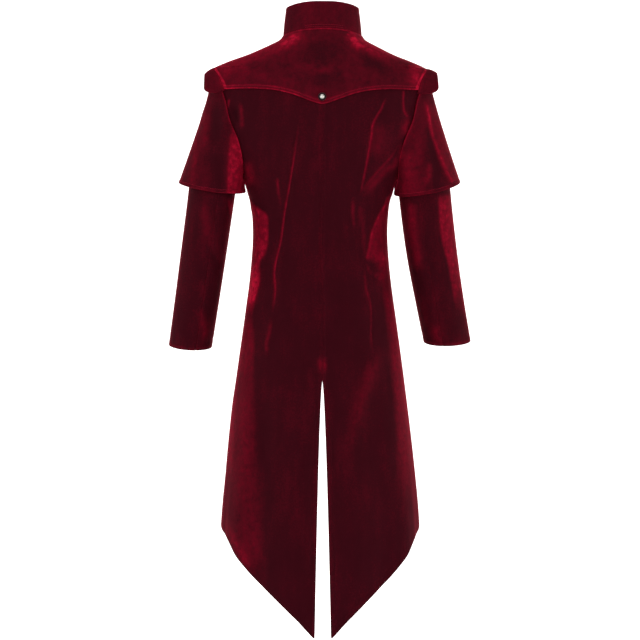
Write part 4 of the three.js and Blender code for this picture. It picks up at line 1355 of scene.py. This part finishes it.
wing = {
    "wall": 3.6,
    "aboveTop": 7,
    "aboveEnds": 9,
    "riseTurn": 45,
    "start": 1,
    "droop": {"left": 0.6, "right": 0.34},
    "endRound": 14,
    "least": 5,
    "reach": {"left": 242, "right": 243},
    "endTurn": {"left": 58, "right": 60},
    "frontEndTurn": {"left": 42, "right": 54},
    "columns": 96,
    "rows": 16,
    "flat": (0.2, 0.05),
    "area": {"left": 0.0056, "right": 0.0062},
    "napAndPaintedLight": 0.08,
}


# The wing stands off the armhole's edge and reaches outwards, less near its ends by a quarter of a circle
def wingPoint(side, armTurn, part):
    above = mix(wing["aboveTop"], wing["aboveEnds"], smooth(np.abs(armTurn) / wing["riseTurn"]))
    edge = armholePoint(armTurn) + armholeOutwards(armTurn) * above[..., None]
    endTurn = np.where(armTurn > 0, wing["endTurn"][side], wing["frontEndTurn"][side])
    fromEnd = np.clip((endTurn - np.abs(armTurn)) / wing["endRound"], 0, 1)
    rounded = np.sqrt(1 - (1 - fromEnd) ** 2)
    width = mix(wing["least"], wing["reach"][side] - edge[..., 0], rounded)
    droop = wing["droop"][side] * np.cos(np.radians(armTurn)) * width * part * (0.6 + 0.4 * part)
    edge[..., 0] += wing["start"] + (width - wing["start"]) * part
    edge[..., 2] -= droop
    return edge


# The wing is thick, with its columns closer together towards its two ends
def makeWing(side, sign):
    def pointAt(armTurn, part):
        return wingPoint(side, armTurn, part)

    even = np.linspace(-1, 1, wing["columns"] + 1)
    end = np.where(even > 0, wing["endTurn"][side], wing["frontEndTurn"][side])
    turns = end * np.sign(even) * (1 - (1 - np.abs(even)) ** 1.5)
    parts = np.linspace(0, 1, wing["rows"] + 1)
    points = middleSurface(pointAt, turns, parts, wall=wing["wall"])
    part = np.broadcast_to(parts[:, None], points.shape[:2])
    swell = 0.6 * np.sin(math.pi * part) ** 0.8  # the wing is a little fuller along its middle
    points = points + gridNormals(points, -1, False) * swell[..., None]
    # painted highlights along the wing's inner and outer edges
    napAndPaintedLight = wing["napAndPaintedLight"] + 0.22 * np.exp(-part / 0.12) + 0.12 * np.exp(-(1 - part) / 0.08)
    name = f"wing_{side}"
    points = mirrored(points, sign)
    piece = makeSheet(f"{name}_velvet", points, wing["wall"], napAndPaintedLight, velvet, -sign, rimSteps=8, rimPaintedLight=0.2)
    finishPiece(piece, "velvet", name)


stud = {
    "segments": 40,
    # radius and height of the profile: the rim's foot and edge, the groove inside it, then the dome
    "profile": [
        (0, -0.6), (7.7, -0.6), (8.4, 0.1), (8.5, 1.3), (7.9, 2.0), (7.1, 2.1), (6.0, 1.2), (5.1, 1.2),
    ],
    "domeRadius": 4.9,
    "domeFoot": 1.4,
    "domeRise": 3.6,
    "domeSteps": 9,
    "sunk": 2.5,
    "backTilt": 0.13,
    "tiltSpan": 10,
}


def studTilt(height):  # how much the front leans there: its rise over a short height
    span = stud["tiltSpan"]
    low, high = (bodyPoint(np.array(180.0), np.array(height + up))[1] for up in (-span, span))
    return (high - low) / (2 * span)


# A turned stud: the profile carried round the axis. The dome is a quarter of an ellipse.
def makeStud(node):
    low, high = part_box(node)
    centre = (np.array(low) + np.array(high)) / 2 / metres
    behind = centre[1] > 0
    outward = unit(np.array([0, 1, stud["backTilt"]] if behind else [0, -1, studTilt(centre[2])]))
    foot = centre - outward * stud["sunk"]
    side = np.array([1.0, 0, 0])
    up = np.cross(outward, side)
    angle = np.linspace(0, math.pi / 2, stud["domeSteps"] + 1)[:-1]
    rise = stud["domeRise"]
    dome = [(stud["domeRadius"] * math.cos(a), stud["domeFoot"] + rise * math.sin(a)) for a in angle]
    profile = np.array(stud["profile"][1:] + dome, float)
    count = stud["segments"]
    turn = np.arange(count) * 2 * math.pi / count
    ring = np.cos(turn)[:, None] * side + np.sin(turn)[:, None] * up
    rings = foot + profile[:, 0, None, None] * ring[None] + profile[:, 1, None, None] * outward
    vertices = rings.reshape(-1, 3).tolist()
    index = np.arange(len(vertices)).reshape(len(profile), count)
    following = np.roll(index, -1, axis=1)
    quads = gridQuads(index, True).tolist()
    bottom, top = len(vertices), len(vertices) + 1
    vertices.append((foot + outward * stud["profile"][0][1]).tolist())
    vertices.append((foot + outward * (stud["domeFoot"] + stud["domeRise"])).tolist())
    fans = [(bottom, int(b), int(a)) for a, b in zip(index[0], following[0])]
    fans += [(top, int(a), int(b)) for a, b in zip(index[-1], following[-1])]
    piece = makeMesh(f"{node}_metal", vertices, quads + fans, domeMetal)
    # the rim and its groove take the dark rim colour, which also paints the shade round the stud
    piece.data.materials.append(rimMetalAndShade)
    slots = np.zeros(len(piece.data.polygons), dtype=np.int32)
    slots[:(len(stud["profile"]) - 1) * count] = 1
    slots[len(quads):len(quads) + count] = 1
    piece.data.polygons.foreach_set("material_index", slots)
    finishPiece(piece, "stud_metal", node)


makeYoke()
makeCollar()
for side, sign in (("left", 1), ("right", -1)):
    makeBack(side, sign)
    makeHalfSleeve(side, sign)
    makeWing(side, sign)
    makeFront(side, sign)
    makeSleeve(side, sign)
print("cloth made")
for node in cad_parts:
    if node == "back_stud" or node.startswith("front_button"):
        makeStud(node)
print("studs made")

studio = {
    "floor": -1.5,
    "floorRadius": 6,
    "curve": 2.2,
    "wallHeight": 5,
    "shade": (0.93, 0.93, 0.93),
    "glow": 0.55,
    "world": 0.6,
    "cameraDistance": 4.0,
    "cameraTurn": 2.2,
    "aim": (0.0004, 0, -0.592),
    "lens": 107.1,
}


# A floor that curves up into a wall all round: a profile of radius and height carried round the middle
def makeFloor():
    bend = np.linspace(0, math.pi / 2, 17)
    radius = np.concatenate([[0.001], studio["floorRadius"] + studio["curve"] * np.sin(bend)])
    height = np.concatenate([[0], studio["curve"] * (1 - np.cos(bend))])
    radius = np.append(radius, radius[-1])
    height = np.append(height, studio["wallHeight"])
    turn = np.linspace(0, 2 * math.pi, 73)[:-1]
    x = radius[:, None] * np.cos(turn)
    y = radius[:, None] * np.sin(turn)
    z = np.broadcast_to(height[:, None] + studio["floor"], x.shape)
    vertices = np.stack([x, y, z], -1).reshape(-1, 3) / metres
    index = np.arange(len(vertices)).reshape(len(radius), len(turn))
    faces = gridQuads(index, True)[:, ::-1].tolist()
    material, _, _, shader = newMaterial("studio_floor")
    shader.inputs["Base Color"].default_value = (*studio["shade"], 1)
    shader.inputs["Roughness"].default_value = 0.9
    shader.inputs["Emission Color"].default_value = (1, 1, 1, 1)
    shader.inputs["Emission Strength"].default_value = studio["glow"]
    makeMesh("studio_floor", vertices, faces, material)


def makeLight(name, place, target, size, power):  # a rectangle of light, turned to its target
    data = bpy.data.lights.new(name, "AREA")
    data.shape = "RECTANGLE"
    data.size, data.size_y = size
    data.energy = power
    light = bpy.data.objects.new(name, data)
    bpy.context.collection.objects.link(light)
    aim(light, place, target)


def aim(thing, place, target):  # the way from place to target becomes the thing's own -Z
    thing.location = place
    thing.rotation_euler = (Vector(target) - Vector(place)).to_track_quat("-Z", "Y").to_euler()


def makeCamera():  # level with its aim, at the coat's back, turned a little round it
    data = bpy.data.cameras.new("camera")
    data.lens = studio["lens"]
    data.sensor_width = 36
    camera = bpy.data.objects.new("camera", data)
    bpy.context.collection.objects.link(camera)
    turn = math.radians(studio["cameraTurn"])
    x, y, z = studio["aim"]
    distance = studio["cameraDistance"]
    aim(camera, (x + distance * math.sin(turn), y + distance * math.cos(turn), z), (x, y, z))
    bpy.context.scene.camera = camera


makeFloor()
makeCamera()
lamps = [
    ("key", (1.8, 3.2, 1.4), (0, 0, -0.5), (1.8, 1.8), 55),
    ("fill", (-2.4, 3.0, 0.4), (0, 0, -0.6), (1.6, 2.2), 34),
    ("edge_left", (2.9, -0.3, -0.3), (0, 0, -0.6), (0.9, 2.4), 30),
    ("edge_right", (-2.9, -0.3, -0.3), (0, 0, -0.6), (0.9, 2.4), 36),
    ("top", (0, 0.4, 2.6), (0, 0, -0.1), (1.6, 1.6), 40),
    ("front_key", (-1.6, -3.2, 1.2), (0, 0, -0.5), (1.8, 1.8), 45),
]
for lamp in lamps:
    makeLight(*lamp)
world = bpy.data.worlds.new("studio")
bpy.context.scene.world = world
world.use_nodes = True
world.node_tree.nodes["Background"].inputs["Color"].default_value = (1, 1, 1, 1)
world.node_tree.nodes["Background"].inputs["Strength"].default_value = studio["world"]
bpy.context.scene.view_settings.view_transform = "Standard"
print("studio made")
